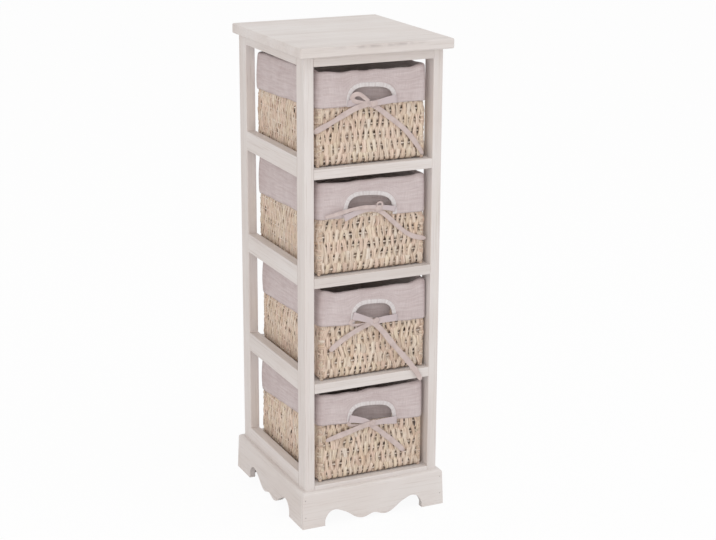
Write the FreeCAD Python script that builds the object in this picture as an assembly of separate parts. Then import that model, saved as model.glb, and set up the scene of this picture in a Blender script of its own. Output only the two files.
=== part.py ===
import FreeCAD, Part
import math
import os

# Basket drawer unit: a narrow wooden stand with four woven baskets that slide out to the front.
# Millimetres, +Z up, the front looks along -Y, and the origin is under the middle of the whole unit.

Vector = FreeCAD.Vector

# Stand: posts, rails and runners
body_width = 236.0
body_depth = 270.0
post_width = 16.0
post_depth = 30.0
rail_height = 16.0
rail_depth = 30.0
side_rail_height = 32.0
side_rail_thickness = 16.0
lowest_rail_height = 52.0
basket_count = 4
runner_width = 20.0
runner_height = 12.0
edge_round = 1.2

# Top board
top_thickness = 16.0
top_side_overhang = 12.0
top_front_overhang = 15.5
top_corner_round = 3.5
top_edge_round = 2.5

# Aprons round the foot
apron_height = 61.0
apron_thickness = 8.0
apron_flare = 2.0
apron_top_round = 5.0
scallop_half_span = 88.0
scallop_rise = 25.4
# The lower edge from its middle to the inner side of a foot, across the half span and up the rise
scallop_across_shares = (0.0, 0.10, 0.225, 0.405, 0.55, 0.655, 0.785, 0.89, 0.965, 1.0)
scallop_up_shares = (0.30, 0.21, 0.10, 0.30, 0.665, 0.85, 1.0, 0.91, 0.63, 0.35)

# Dowels and brads
dowel_diameter = 6.0
dowel_length = 20.0
dowel_clearance = 0.1
dowel_end_gap = 0.4
rail_dowel_place_share = 0.3
side_rail_dowel_shares = (0.25, 0.75)
top_rail_dowel_shares = (0.5,)
top_dowel_place_share = 0.25
brad_diameter = 1.6
brad_length = 30.0
brad_clearance = 0.1
brad_depth = 0.5
corner_brad_shares = (0.32, 0.8)
runner_brad_shares = (0.2, 0.8)

# Baskets, and the room that each has in its opening
basket_height = 150.0
basket_head_gap = 9.0
basket_side_gap = 7.5
basket_recess = 8.0
basket_rear_gap = 24.0
basket_seat_gap = 0.2
basket_corner_round = 11.0
# How far each basket stands to the right in its opening, lowest first, as shares of the side gap
basket_shift_shares = (0.4, 0.8, 0.2, 0.0)
least_round = 1.0
weave_wall = 7.0
weave_floor = 6.0
corner_post_width = 10.8
strand_band_width = 14.0
groove_width = 5.6
groove_depth = 2.8
wire_diameter = 3.0
wire_leg_diameter = 2.4
wire_clearance = 0.1
wire_leg_end_gap = 12.0

# Liners: cloth, turned-down cuff and the bound arch of the hand hole
cloth_thickness = 1.2
cloth_gap = 0.3
cuff_height = 57.0
arch_width = 70.0
arch_below_rim = 29.0
arch_round = 19.0
binding_width = 7.0
binding_gap = 0.2
hand_hole_margin = 2.0
hand_hole_height = 30.0
hand_hole_round = 10.0

# Tie ribbons
ribbon_width = 7.0
ribbon_thickness = 0.9
loop_width = 4.0
ribbon_gap = 0.3
knot_width = 11.0
knot_height = 10.0
knot_thickness = 4.0
knot_round = 1.8
rail_clearance = 1.2
arc_share = 0.45

# Routes of the ribbons, lowest basket first: across from the basket's middle as shares of its width,
# and up from its base as shares of its height.
# "left" leaves the left end of the binding and ends at the lower right, "right" the other way round.
# "outer" names the ribbon that lies on top where the two cross.
tie_route_shares = [
    {
        "left": [(-0.210, 0.687), (-0.138, 0.660), (-0.037, 0.610), (0.037, 0.547), (0.106, 0.473),
                 (0.174, 0.397), (0.243, 0.310), (0.307, 0.227)],
        "right": [(0.215, 0.640), (0.132, 0.643), (0.037, 0.630), (-0.048, 0.610), (-0.127, 0.587),
                  (-0.196, 0.560), (-0.275, 0.533), (-0.349, 0.513), (-0.418, 0.487)],
        "loop": [(-0.038, 0.643), (-0.111, 0.673), (-0.185, 0.683), (-0.228, 0.667), (-0.233, 0.630),
                 (-0.191, 0.610), (-0.111, 0.607), (-0.038, 0.607)],
        "knot": (-0.005, 0.627),
        "outer": "right",
    },
    {
        "left": [(-0.206, 0.687), (-0.154, 0.673), (-0.064, 0.640), (0.016, 0.567), (0.084, 0.467),
                 (0.153, 0.353), (0.222, 0.243), (0.291, 0.140), (0.354, 0.033), (0.402, -0.053),
                 (0.439, -0.127)],
        "right": [(0.217, 0.660), (0.127, 0.657), (0.042, 0.633), (-0.048, 0.590), (-0.133, 0.553),
                  (-0.217, 0.500), (-0.297, 0.447), (-0.376, 0.387), (-0.450, 0.337)],
        "loop": [(-0.034, 0.647), (-0.115, 0.677), (-0.196, 0.687), (-0.239, 0.670), (-0.244, 0.633),
                 (-0.202, 0.613), (-0.118, 0.610), (-0.034, 0.610)],
        "knot": (0.000, 0.627),
        "outer": "left",
    },
    {
        "left": [(-0.215, 0.687), (-0.146, 0.713), (-0.045, 0.727), (0.045, 0.700), (0.124, 0.633),
                 (0.193, 0.543), (0.262, 0.460), (0.325, 0.393), (0.389, 0.343), (0.452, 0.307),
                 (0.505, 0.287)],
        "right": [(0.214, 0.693), (0.140, 0.717), (0.061, 0.720), (-0.024, 0.713), (-0.114, 0.710),
                  (-0.204, 0.693), (-0.294, 0.680), (-0.373, 0.673), (-0.442, 0.653)],
        "loop": [(0.042, 0.727), (0.029, 0.760), (0.050, 0.787), (0.082, 0.780), (0.090, 0.750),
                 (0.074, 0.727)],
        "knot": (0.055, 0.690),
        "outer": "left",
    },
    {
        "left": [(-0.212, 0.660), (-0.111, 0.653), (-0.011, 0.617), (0.090, 0.543), (0.190, 0.447),
                 (0.286, 0.340), (0.365, 0.247), (0.423, 0.143), (0.466, 0.053)],
        "right": [(0.222, 0.653), (0.132, 0.657), (0.042, 0.647), (-0.053, 0.643), (-0.153, 0.617),
                  (-0.249, 0.570), (-0.344, 0.513), (-0.434, 0.453), (-0.513, 0.397)],
        "loop": [(-0.049, 0.667), (-0.090, 0.727), (-0.138, 0.790), (-0.196, 0.773), (-0.212, 0.697),
                 (-0.148, 0.650), (-0.049, 0.630)],
        "knot": (-0.016, 0.647),
        "outer": "right",
    },
]

# Two directions count as one from this cosine on
parallel_share = 0.999

# Places worked out from the sizes
overrun = post_width
overall_depth = top_front_overhang + body_depth + apron_thickness + apron_flare
front_face = top_front_overhang - overall_depth / 2
rear_face = front_face + body_depth
right_face = body_width / 2
inner_right = right_face - post_width
level_pitch = basket_height + basket_head_gap + rail_height
rail_bottoms = [lowest_rail_height + level * level_pitch for level in range(basket_count + 1)]
level_names = [str(level + 1) for level in range(basket_count + 1)]
top_underside = rail_bottoms[-1] + rail_height
sides = {"left": -1, "right": 1}


def block(x_low, x_high, y_low, y_high, z_low, z_high):
    """Box between two corners."""
    corner = Vector(x_low, y_low, z_low)
    return Part.makeBox(x_high - x_low, y_high - y_low, z_high - z_low, corner)


def edges_along(shape, axis):
    """Straight edges of a shape that run along an axis."""
    found = []
    for edge in shape.Edges:
        run = edge.Vertexes[-1].Point - edge.Vertexes[0].Point
        if run.Length > 0 and abs(run.dot(axis)) > parallel_share * run.Length:
            found.append(edge)
    return found


def planed(shape, axis):
    """A stick of wood with its long edges eased."""
    return shape.makeFillet(edge_round, edges_along(shape, axis))


def rounded_block(x_size, y_low, y_high, z_low, z_high, radius):
    """Box centred in X with rounded upright edges."""
    shape = block(-x_size / 2, x_size / 2, y_low, y_high, z_low, z_high)
    return shape.makeFillet(radius, edges_along(shape, Vector(0, 0, 1)))


def drilled(shape, bores):
    """Cut the bores that reach a piece out of it."""
    hits = [bore for bore in bores if bore.BoundBox.intersect(shape.BoundBox)]
    return shape.cut(hits) if hits else shape


def save(node, solids):
    """Write one node with all its solids."""
    shape = solids[0] if len(solids) == 1 else Part.makeCompound(solids)
    shape.exportStep(os.path.join("parts", node + ".step"))


# Dowels


def dowel_places():
    """Middle and direction of each dowel: rail ends, side rail ends and the top board."""
    places = []
    for bottom in rail_bottoms:
        top_level = bottom == rail_bottoms[-1]
        for sign in sides.values():
            inset = post_depth * rail_dowel_place_share
            for y in (front_face + inset, rear_face - inset):
                places.append((Vector(sign * inner_right, y, bottom + rail_height / 2), Vector(1, 0, 0)))
            shares = top_rail_dowel_shares if top_level else side_rail_dowel_shares
            height = rail_height if top_level else side_rail_height
            for share in shares:
                for y in (front_face + post_depth, rear_face - post_depth):
                    x = sign * (right_face - side_rail_thickness / 2)
                    places.append((Vector(x, y, bottom + height * share), Vector(0, 1, 0)))
    for sign in sides.values():
        for y in (front_face + rail_depth / 2, rear_face - rail_depth / 2):
            x = sign * body_width * top_dowel_place_share
            places.append((Vector(x, y, top_underside), Vector(0, 0, 1)))
    return places


def rod(middle, direction, diameter, length):
    """Round rod of a length about its middle."""
    return Part.makeCylinder(diameter / 2, length, middle - direction * (length / 2), direction)


# Brads


def brad_places():
    """Outer end and direction of each brad: apron corners and runners."""
    places = []
    for share in corner_brad_shares:
        z = apron_height * share
        stand_off = apron_thickness + apron_flare * (1 - share)
        for sign in sides.values():
            x = sign * (right_face + apron_thickness / 2)
            places.append((Vector(x, front_face - stand_off, z), Vector(0, 1, 0)))
            places.append((Vector(x, rear_face + stand_off, z), Vector(0, -1, 0)))
    run = body_depth - 2 * rail_depth
    for bottom in rail_bottoms[:-1]:
        z = bottom + rail_height - runner_height / 2
        for sign in sides.values():
            for share in runner_brad_shares:
                y = front_face + rail_depth + run * share
                places.append((Vector(sign * (inner_right - runner_width), y, z), Vector(sign, 0, 0)))
    return places


def brad(place, direction):
    """Brad driven a little below the surface."""
    return Part.makeCylinder(brad_diameter / 2, brad_length, place + direction * brad_depth, direction)


def brad_bore(place, direction):
    """Hole of a brad, open at the surface."""
    radius = (brad_diameter + brad_clearance) / 2
    length = overrun + brad_depth + brad_length
    return Part.makeCylinder(radius, length, place - direction * overrun, direction)


# Wooden pieces


def top_board():
    """Top board, flush with the rear of the posts."""
    half = right_face + top_side_overhang
    y_low = front_face - top_front_overhang
    board = block(-half, half, y_low, rear_face, top_underside, top_underside + top_thickness)
    board = board.makeFillet(top_corner_round, edges_along(board, Vector(0, 0, 1)))
    rims = []
    for face in board.Faces:
        if abs(face.normalAt(0, 0).z) > parallel_share:
            rims.extend(face.Edges)
    return board.makeFillet(top_edge_round, rims)


def post(sign, y_low):
    """Post with its narrow side to the front."""
    x_low, x_high = sorted((sign * inner_right, sign * right_face))
    return planed(block(x_low, x_high, y_low, y_low + post_depth, 0, top_underside), Vector(0, 0, 1))


def cross_rail(y_low, bottom):
    """Front or rear rail, lying flat between two posts."""
    stick = block(-inner_right, inner_right, y_low, y_low + rail_depth, bottom, bottom + rail_height)
    return planed(stick, Vector(1, 0, 0))


def side_rail(sign, bottom, height):
    """Side rail on edge, flush with the outside of the posts."""
    x_low, x_high = sorted((sign * (right_face - side_rail_thickness), sign * right_face))
    stick = block(x_low, x_high, front_face + post_depth, rear_face - post_depth, bottom, bottom + height)
    return planed(stick, Vector(0, 1, 0))


def runner(sign, bottom):
    """Strip inside a side rail, level with the top of the front rail."""
    x_low, x_high = sorted((sign * (inner_right - runner_width), sign * inner_right))
    top = bottom + rail_height
    return block(x_low, x_high, front_face + rail_depth, rear_face - rail_depth, top - runner_height, top)


def scallop_cutter(middle, across, through, depth):
    """Solid under the scalloped lower edge of an apron."""
    up = Vector(0, 0, 1)
    half = []
    for across_share, up_share in zip(scallop_across_shares, scallop_up_shares):
        half.append((scallop_half_span * across_share, scallop_rise * up_share))
    points = [(-x, z) for x, z in reversed(half[1:])] + half
    curve = Part.BSplineCurve()
    curve.interpolate([middle + across * x + up * z for x, z in points])
    start = curve.StartPoint
    end = curve.EndPoint
    low_start = Vector(start.x, start.y, -overrun)
    low_end = Vector(end.x, end.y, -overrun)
    sides_and_base = Part.makePolygon([end, low_end, low_start, start])
    outline = Part.Wire([curve.toShape()] + sides_and_base.Edges)
    return Part.Face(outline).extrude(through * depth)


def plinth():
    """All four aprons in one ring: outer faces lean out towards the floor, upper edges are rounded."""
    rings = []
    for z, spread in ((0, apron_thickness + apron_flare), (apron_height, apron_thickness)):
        half = right_face + spread
        y_low = front_face - spread
        y_high = rear_face + spread
        corners = [(-half, y_low), (half, y_low), (half, y_high), (-half, y_high), (-half, y_low)]
        rings.append(Part.makePolygon([Vector(x, y, z) for x, y in corners]))
    solid = Part.makeLoft(rings, True, True)
    rim = [edge for edge in solid.Edges if edge.BoundBox.ZMin > apron_height - edge_round]
    solid = solid.makeFillet(apron_top_round, rim)
    return solid.cut(block(-right_face, right_face, front_face, rear_face, -overrun, apron_height + overrun))


def aprons():
    """Front and rear aprons cover the ends of the side aprons."""
    ring = plinth()
    reach = body_width + body_depth
    body_span = (front_face, rear_face)
    middle_y = (front_face + rear_face) / 2
    depth = overrun + apron_thickness + apron_flare
    x_axis = Vector(1, 0, 0)
    y_axis = Vector(0, 1, 0)
    windows = {
        "apron_front": ((-reach, reach), (-reach, front_face), Vector(0, front_face, 0), x_axis, -y_axis),
        "apron_rear": ((-reach, reach), (rear_face, reach), Vector(0, rear_face, 0), x_axis, y_axis),
        "apron_left": ((-reach, -right_face), body_span, Vector(-right_face, middle_y, 0), y_axis, -x_axis),
        "apron_right": ((right_face, reach), body_span, Vector(right_face, middle_y, 0), y_axis, x_axis),
    }
    pieces = {}
    for node, (x_span, y_span, middle, across, outward) in windows.items():
        window = block(*x_span, *y_span, -overrun, reach)
        cutter = scallop_cutter(middle - outward * overrun, across, outward, 2 * depth)
        pieces[node] = ring.common(window).cut(cutter)
    return pieces


# Baskets, modelled at the level whose rail top is at height zero and then lifted

basket_width = 2 * (inner_right - basket_side_gap)
basket_front = front_face + basket_recess
basket_rear = rear_face - basket_rear_gap
cloth = cloth_thickness + cloth_gap
weave_width = basket_width - 2 * cloth
weave_front = basket_front + cloth
weave_rear = basket_rear - cloth
weave_round = basket_corner_round - cloth
weave_top = basket_height - cloth - wire_diameter / 2
arch_top = basket_height - arch_below_rim
cuff_bottom = basket_height - cuff_height


def inset_block(inset, z_low, z_high):
    """Rounded box set in from the outside of the woven body; a negative inset is outside it."""
    radius = max(weave_round - inset, least_round)
    width = weave_width - 2 * inset
    return rounded_block(width, weave_front + inset, weave_rear - inset, z_low, z_high, radius)


def rim_wire(clearance):
    """Wire round the rim, with a leg down each corner, along the middle of the woven wall."""
    radius = (wire_diameter + clearance) / 2
    leg_radius = (wire_leg_diameter + clearance) / 2
    leg_foot = weave_floor + wire_leg_end_gap - clearance
    inset = weave_wall / 2
    bend = max(weave_round - inset, wire_diameter)
    x_middle = weave_width / 2 - inset - bend
    y_middles = {-1: weave_front + inset + bend, 1: weave_rear - inset - bend}
    y_run = y_middles[1] - y_middles[-1]
    up = Vector(0, 0, 1)
    quarter_turn = math.degrees(math.pi / 2)
    pieces = []
    for sign in sides.values():
        start = Vector(sign * (x_middle + bend), y_middles[-1], weave_top)
        pieces.append(Part.makeCylinder(radius, y_run, start, Vector(0, 1, 0)))
        start = Vector(-x_middle, y_middles[sign] + sign * bend, weave_top)
        pieces.append(Part.makeCylinder(radius, 2 * x_middle, start, Vector(1, 0, 0)))
    for quarter, (x_sign, y_sign) in enumerate(((1, 1), (-1, 1), (-1, -1), (1, -1))):
        centre = Vector(x_sign * x_middle, y_middles[y_sign], weave_top)
        start = centre + Vector(bend, 0, 0)
        section = Part.Face(Part.Wire([Part.makeCircle(radius, start, Vector(0, 1, 0))]))
        corner = section.revolve(centre, up, quarter_turn)
        corner.rotate(centre, up, quarter_turn * quarter)
        pieces.append(corner)
        diagonal = Vector(x_sign, y_sign, 0).normalize() * bend
        foot = Vector(centre.x + diagonal.x, centre.y + diagonal.y, leg_foot)
        pieces.append(Part.makeCylinder(leg_radius, weave_top - leg_foot, foot))
    return pieces[0].fuse(pieces[1:])


def slot_through_front(width, z_low, z_high, radius, y_low, y_high, round_below):
    """Rounded slot along Y; its lower corners stay square where it is open below."""
    shape = block(-width / 2, width / 2, y_low, y_high, z_low, z_high)
    corners = edges_along(shape, Vector(0, 1, 0))
    if not round_below:
        corners = [edge for edge in corners if edge.CenterOfMass.z > (z_low + z_high) / 2]
    return shape.makeFillet(radius, corners)


def groove(mouth, along, inward):
    """V-shaped cutter that goes up a woven wall from below it to under the cuff."""
    spread = along * (groove_width / 2)
    reach = inward * groove_depth
    outside = overrun / groove_depth
    corners = [mouth + reach, mouth - reach * outside - spread * (1 + outside)]
    corners.append(mouth - reach * outside + spread * (1 + outside))
    profile = Part.Face(Part.makePolygon(corners + corners[:1]))
    return profile.extrude(Vector(0, 0, cuff_bottom + groove_width - mouth.z))


def weave_grooves():
    """Grooves that part the wrapped corner posts and the broad bands of strands from each other."""
    x_axis = Vector(1, 0, 0)
    y_axis = Vector(0, 1, 0)
    foot = basket_seat_gap - overrun
    middle_y = (weave_front + weave_rear) / 2
    walls = (
        (Vector(0, weave_front, foot), x_axis, y_axis, weave_width),
        (Vector(0, weave_rear, foot), x_axis, -y_axis, weave_width),
        (Vector(-weave_width / 2, middle_y, foot), y_axis, x_axis, weave_rear - weave_front),
        (Vector(weave_width / 2, middle_y, foot), y_axis, -x_axis, weave_rear - weave_front),
    )
    cutters = []
    for middle, along, inward, length in walls:
        run = length - 2 * corner_post_width
        bands = max(round(run / strand_band_width), 1)
        for index in range(bands + 1):
            cutters.append(groove(middle + along * (run * index / bands - run / 2), along, inward))
    return cutters


def basket_weave():
    """Woven body with ribbed walls: open at the top, a hand hole in front and a groove for the rim wire."""
    shape = inset_block(0, basket_seat_gap, weave_top)
    shape = shape.cut(inset_block(weave_wall, basket_seat_gap + weave_floor, weave_top + overrun))
    hole_top = arch_top + hand_hole_margin
    hole = slot_through_front(
        arch_width + 2 * hand_hole_margin, hole_top - hand_hole_height, hole_top, hand_hole_round,
        weave_front - overrun, weave_front + weave_wall + overrun, True)
    return shape.cut([hole, rim_wire(wire_clearance)] + weave_grooves())


def arch(margin):
    """Arch of the hand hole through the front of the cuff, open below, wider all round by a margin."""
    return slot_through_front(
        arch_width + 2 * margin, cuff_bottom - overrun, arch_top + margin, arch_round + margin,
        basket_front - overrun, weave_front - cloth_gap / 2, False)


def liner():
    """Cloth bag inside the basket, folded over the rim and turned down outside as a cuff."""
    floor_top = basket_seat_gap + weave_floor + cloth_gap
    bag = inset_block(weave_wall + cloth_gap, floor_top, basket_height)
    bag = bag.cut(inset_block(weave_wall + cloth, floor_top + cloth_thickness, basket_height + overrun))
    fold = inset_block(-cloth, basket_height - cloth_thickness, basket_height)
    fold = fold.cut(inset_block(weave_wall + cloth, cuff_bottom, basket_height + overrun))
    cuff = inset_block(-cloth, cuff_bottom, basket_height)
    cuff = cuff.cut(inset_block(-cloth_gap, cuff_bottom - overrun, basket_height + overrun))
    shape = bag.fuse([fold, cuff]).removeSplitter()
    return shape.cut(arch(binding_width))


def cuff_binding():
    """White tape that edges the arch, as thick as the cuff."""
    y_high = basket_front + cloth_thickness
    sheet = block(-basket_width, basket_width, basket_front, y_high, cuff_bottom, basket_height)
    return arch(binding_width - binding_gap).cut(arch(0)).common(sheet)


# Tie ribbons


def rounded_route(points):
    """Straight runs joined by tangent arcs, each as large as its two runs allow, with the radii."""
    radii = []
    edges = []
    start = points[0]
    for before, corner, after in zip(points, points[1:], points[2:]):
        to_before = before - corner
        to_after = after - corner
        turn = math.pi - to_before.getAngle(to_after)
        cut = arc_share * min(to_before.Length, to_after.Length)
        radius = cut / math.tan(turn / 2)
        first = corner + to_before.normalize() * cut
        last = corner + to_after.normalize() * cut
        inward = (to_before + to_after).normalize()
        middle = corner + inward * (radius / math.cos(turn / 2) - radius)
        edges.append(Part.LineSegment(start, first).toShape())
        edges.append(Part.Arc(first, middle, last).toShape())
        radii.append(radius)
        start = last
    edges.append(Part.LineSegment(start, points[-1]).toShape())
    return Part.Wire(edges), radii


def band(label, route, width, back):
    """Flat ribbon along a route in an upright plane, with its back at a place in Y."""
    middle_y = back - ribbon_thickness / 2
    points = [Vector(x, middle_y, z) for x, z in route]
    wire, radii = rounded_route(points)
    heading = (points[1] - points[0]).normalize()
    across = heading.cross(Vector(0, 1, 0)) * (width / 2)
    through = Vector(0, ribbon_thickness / 2, 0)
    start = points[0]
    corners = [start + across + through, start - across + through]
    corners += [start - across - through, start + across - through]
    section = Part.makePolygon(corners + corners[:1])
    shape = wire.makePipeShell([section], True, False)
    expected = width * ribbon_thickness * wire.Length
    print(label, "length", round(wire.Length, 1), "least radius", round(min(radii), 1),
          "volume share", round(shape.Volume / expected, 4))
    return shape


def on_front(point_shares):
    """Across and up, in millimetres, of a point on the front of a basket."""
    across_share, up_share = point_shares
    return across_share * basket_width, up_share * basket_height


def tie(number, shares):
    """Left ribbon, and right ribbon with its loop and knot, of one basket."""
    step = ribbon_thickness + ribbon_gap
    inner_back = basket_front - ribbon_gap
    outer_back = inner_back - step
    bands = {}
    knot_x, knot_z = on_front(shares["knot"])
    knot_back = outer_back - step
    for name in sides:
        route = [on_front(point) for point in shares[name]]
        leans = min(z for x, z in route) < 0
        back = outer_back if shares["outer"] == name and not leans else inner_back
        shape = band("tie_" + name + "_" + number, route, ribbon_width, back)
        if leans:
            pivot_z = max(z for x, z in route) + ribbon_width / 2
            lean = math.atan((basket_recess + rail_clearance) / pivot_z)
            shape.rotate(Vector(0, back, pivot_z), Vector(1, 0, 0), -math.degrees(lean))
            knot_drop = pivot_z - knot_z + knot_height / 2
            knot_back = min(knot_back, back - knot_drop * math.sin(lean) - step)
        bands[name] = shape
    knot = block(knot_x - knot_width / 2, knot_x + knot_width / 2, knot_back - knot_thickness, knot_back,
                 knot_z - knot_height / 2, knot_z + knot_height / 2)
    knot = knot.makeFillet(knot_round, knot.Edges)
    loop_route = [on_front(point) for point in shares["loop"]]
    loop = band("tie_loop_" + number, loop_route, loop_width, knot_back)
    return [bands["left"]], [bands["right"], loop, knot]


def main():
    """Build every node and write it."""
    os.makedirs("parts", exist_ok=True)
    dowels = dowel_places()
    brads = brad_places()
    bore_diameter = dowel_diameter + dowel_clearance
    bore_length = dowel_length + 2 * dowel_end_gap
    bores = [rod(middle, direction, bore_diameter, bore_length) for middle, direction in dowels]
    bores += [brad_bore(place, direction) for place, direction in brads]

    save("dowel_pins", [rod(middle, axis, dowel_diameter, dowel_length) for middle, axis in dowels])
    save("brad_pins", [brad(place, direction) for place, direction in brads])
    save("top_board", [drilled(top_board(), bores)])
    for side, sign in sides.items():
        save("post_front_" + side, [drilled(post(sign, front_face), bores)])
        save("post_rear_" + side, [drilled(post(sign, rear_face - post_depth), bores)])
    for number, bottom in zip(level_names, rail_bottoms):
        save("front_rail_" + number, [drilled(cross_rail(front_face, bottom), bores)])
        save("rear_rail_" + number, [drilled(cross_rail(rear_face - rail_depth, bottom), bores)])
        height = rail_height if bottom == rail_bottoms[-1] else side_rail_height
        for side, sign in sides.items():
            save(side + "_rail_" + number, [drilled(side_rail(sign, bottom, height), bores)])
    for node, shape in aprons().items():
        save(node, [drilled(shape, bores)])

    weave = basket_weave()
    wire = rim_wire(0)
    bag = liner()
    binding = cuff_binding()
    levels = zip(level_names, rail_bottoms, basket_shift_shares, tie_route_shares)
    for number, bottom, shift_share, shares in levels:
        save("runners_" + number, [drilled(runner(sign, bottom), bores) for sign in sides.values()])
        left_tie, right_tie = tie(number, shares)
        lift = Vector(basket_side_gap * shift_share, 0, bottom + rail_height)
        pieces = {
            "basket_weave_": [weave],
            "basket_wire_": [wire],
            "liner_": [bag],
            "cuff_binding_": [binding],
            "tie_left_": left_tie,
            "tie_right_": right_tie,
        }
        for name, solids in pieces.items():
            save(name + number, [solid.translated(lift) for solid in solids])


main()
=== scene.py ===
# %% [markdown]
# # Basket drawer unit
# A narrow whitewashed stand holds four woven husk baskets. Each basket has a cloth liner whose cuff is
# turned down outside, a hand hole edged with white tape, and two ribbons tied in a bow. The wood comes
# from the CAD frame and only gets its finish here. The soft pieces are built in this lesson, each in
# the place of its CAD solid.

# %% Load the frame
import math
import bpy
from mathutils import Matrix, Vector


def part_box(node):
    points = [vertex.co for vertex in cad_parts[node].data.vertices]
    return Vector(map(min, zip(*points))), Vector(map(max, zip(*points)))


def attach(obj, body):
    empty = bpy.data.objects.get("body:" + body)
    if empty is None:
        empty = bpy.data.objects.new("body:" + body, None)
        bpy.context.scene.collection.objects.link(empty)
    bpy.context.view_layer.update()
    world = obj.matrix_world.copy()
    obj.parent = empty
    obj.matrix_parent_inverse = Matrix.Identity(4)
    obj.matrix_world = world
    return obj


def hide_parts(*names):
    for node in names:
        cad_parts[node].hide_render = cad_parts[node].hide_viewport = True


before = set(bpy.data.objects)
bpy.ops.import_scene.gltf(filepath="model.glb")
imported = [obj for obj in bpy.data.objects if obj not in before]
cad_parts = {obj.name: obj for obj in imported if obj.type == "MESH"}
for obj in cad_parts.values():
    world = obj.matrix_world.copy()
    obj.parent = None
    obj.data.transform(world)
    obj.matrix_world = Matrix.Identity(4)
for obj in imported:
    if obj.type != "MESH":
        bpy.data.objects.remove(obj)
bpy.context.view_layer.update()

from types import SimpleNamespace

import bpy
import numpy as np
from mathutils import Matrix, Vector

mm = 0.001
x_axis, y_axis, upright = np.eye(3)

# %% [markdown]
# ## Camera
# The camera stands where the photograph was taken from: to the left of the front and a little above it,
# far away, so that upright lines stay almost parallel. It could be aimed by a constraint, but three
# plain angles and a distance keep the picture the same on every run. The small roll is the tilt of the
# photographer's hand.

# %% Camera
camera_azimuth = math.radians(-25.054)
camera_pitch = math.radians(16.613)
camera_roll = math.radians(0.276)
camera_distance = 2.8512
camera_aim = Vector((0.0351, 0.0, 0.3811))
camera_lens_mm = 86.015
camera_sensor_mm = 36.0

camera_back = Vector((
    math.sin(camera_azimuth) * math.cos(camera_pitch),
    -math.cos(camera_azimuth) * math.cos(camera_pitch),
    math.sin(camera_pitch),
))
level_right = Vector((0, 0, 1)).cross(camera_back).normalized()
level_up = camera_back.cross(level_right)
rolled_right = math.cos(camera_roll) * level_right + math.sin(camera_roll) * level_up
rolled_up = math.cos(camera_roll) * level_up - math.sin(camera_roll) * level_right
camera_data = bpy.data.cameras.new("camera")
camera_data.lens = camera_lens_mm
camera_data.sensor_width = camera_sensor_mm
camera = bpy.data.objects.new("camera", camera_data)
bpy.context.scene.collection.objects.link(camera)
camera_turn = Matrix((rolled_right, rolled_up, camera_back)).transposed().to_4x4()
camera.matrix_world = Matrix.Translation(camera_aim + camera_back * camera_distance) @ camera_turn
bpy.context.scene.camera = camera
print("camera at", [round(place, 3) for place in camera.matrix_world.translation])

# %% [markdown]
# ## Small tools for finishes
# Every finish is a node tree. A few helpers keep the trees readable: one adds a node and fills or links
# its inputs, others stand for the nodes that come back most often. Colours are written as they are read
# from a colour chart, from 0 to 255, and turned into the linear light that a shader works with.

# %% Nodes and colours


def paint(red, green, blue):
    """Chart colour to linear light.

    With c a share of 255, the light is ((c + 0.055) / 1.055) to the power 2.4, or c / 12.92 near black."""
    share = np.array([red, green, blue]) / 255
    linear = np.where(share > 0.04045, ((share + 0.055) / 1.055) ** 2.4, share / 12.92)
    return (*linear.tolist(), 1.0)


def grey(level):
    """Linear grey, for a ramp that drives a number."""
    return (level, level, level, 1.0)


def new_finish(name):
    """New material, with its tree and its shader."""
    material = bpy.data.materials.new(name)
    material.use_nodes = True
    return material, material.node_tree, material.node_tree.nodes["Principled BSDF"]


def fill(tree, node, inputs):
    """Sets a node's inputs; one that is given as another node's socket is linked."""
    for name, value in inputs.items():
        if isinstance(value, bpy.types.NodeSocket):
            tree.links.new(value, node.inputs[name])
        else:
            node.inputs[name].default_value = value


def put(tree, kind, inputs=None, **settings):
    """Adds a node with its settings and inputs."""
    node = tree.nodes.new("ShaderNode" + kind)
    for name, value in settings.items():
        setattr(node, name, value)
    fill(tree, node, inputs or {})
    return node


def place_of(tree):
    """A point's place in the object's own frame, in metres."""
    return put(tree, "TexCoord").outputs["Object"]


def marked(tree, label):
    """Three values that the mesh carries on its points."""
    return put(tree, "Attribute", attribute_name=label).outputs["Vector"]


def axes_of(tree, vector):
    """X, Y and Z of a vector."""
    return put(tree, "SeparateXYZ", {"Vector": vector}).outputs


print("node helpers ready")

# %% Sums, noise and mixes


def math_of(tree, operation, first, second):
    """One sum, product or like operation on two numbers or sockets."""
    return put(tree, "Math", {0: first, 1: second}, operation=operation).outputs["Value"]


def times(tree, first, *others):
    """Product of numbers or sockets."""
    for other in others:
        first = math_of(tree, "MULTIPLY", first, other)
    return first


def noise_of(tree, vector, scale, detail, roughness=0.55):
    """Grey cloud noise at a scale."""
    inputs = {"Vector": vector, "Scale": scale, "Detail": detail, "Roughness": roughness}
    return put(tree, "TexNoise", inputs).outputs["Fac"]


def streaks_of(tree, vector, scale, detail, roughness=0.55):
    """Grey noise with a scale of its own on each axis, so that it is drawn out along the smallest."""
    mapped = put(tree, "Mapping", {"Vector": vector, "Scale": scale}).outputs["Vector"]
    return noise_of(tree, mapped, 1.0, detail, roughness)


def ramp(tree, factor, stops):
    """Colour ramp through (place, colour) stops."""
    node = put(tree, "ValToRGB", {"Fac": factor})
    while len(node.color_ramp.elements) < len(stops):
        node.color_ramp.elements.new(0.5)
    for element, (place, colour) in zip(node.color_ramp.elements, stops):
        element.position = place
        element.color = colour
    return node.outputs["Color"]


def mixed(tree, factor, first, second, blend="MIX"):
    """Colour mix of two colours or sockets."""
    inputs = {0: factor, 6: first, 7: second}
    return put(tree, "Mix", inputs, data_type="RGBA", blend_type=blend).outputs[2]


def shaded(tree, colour, factor, share, low, shade, high):
    """Colour multiplied, to a share, by a ramp that goes from a shade at low to white at high."""
    return mixed(tree, share, colour, ramp(tree, factor, [(low, shade), (high, white)]), "MULTIPLY")


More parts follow.
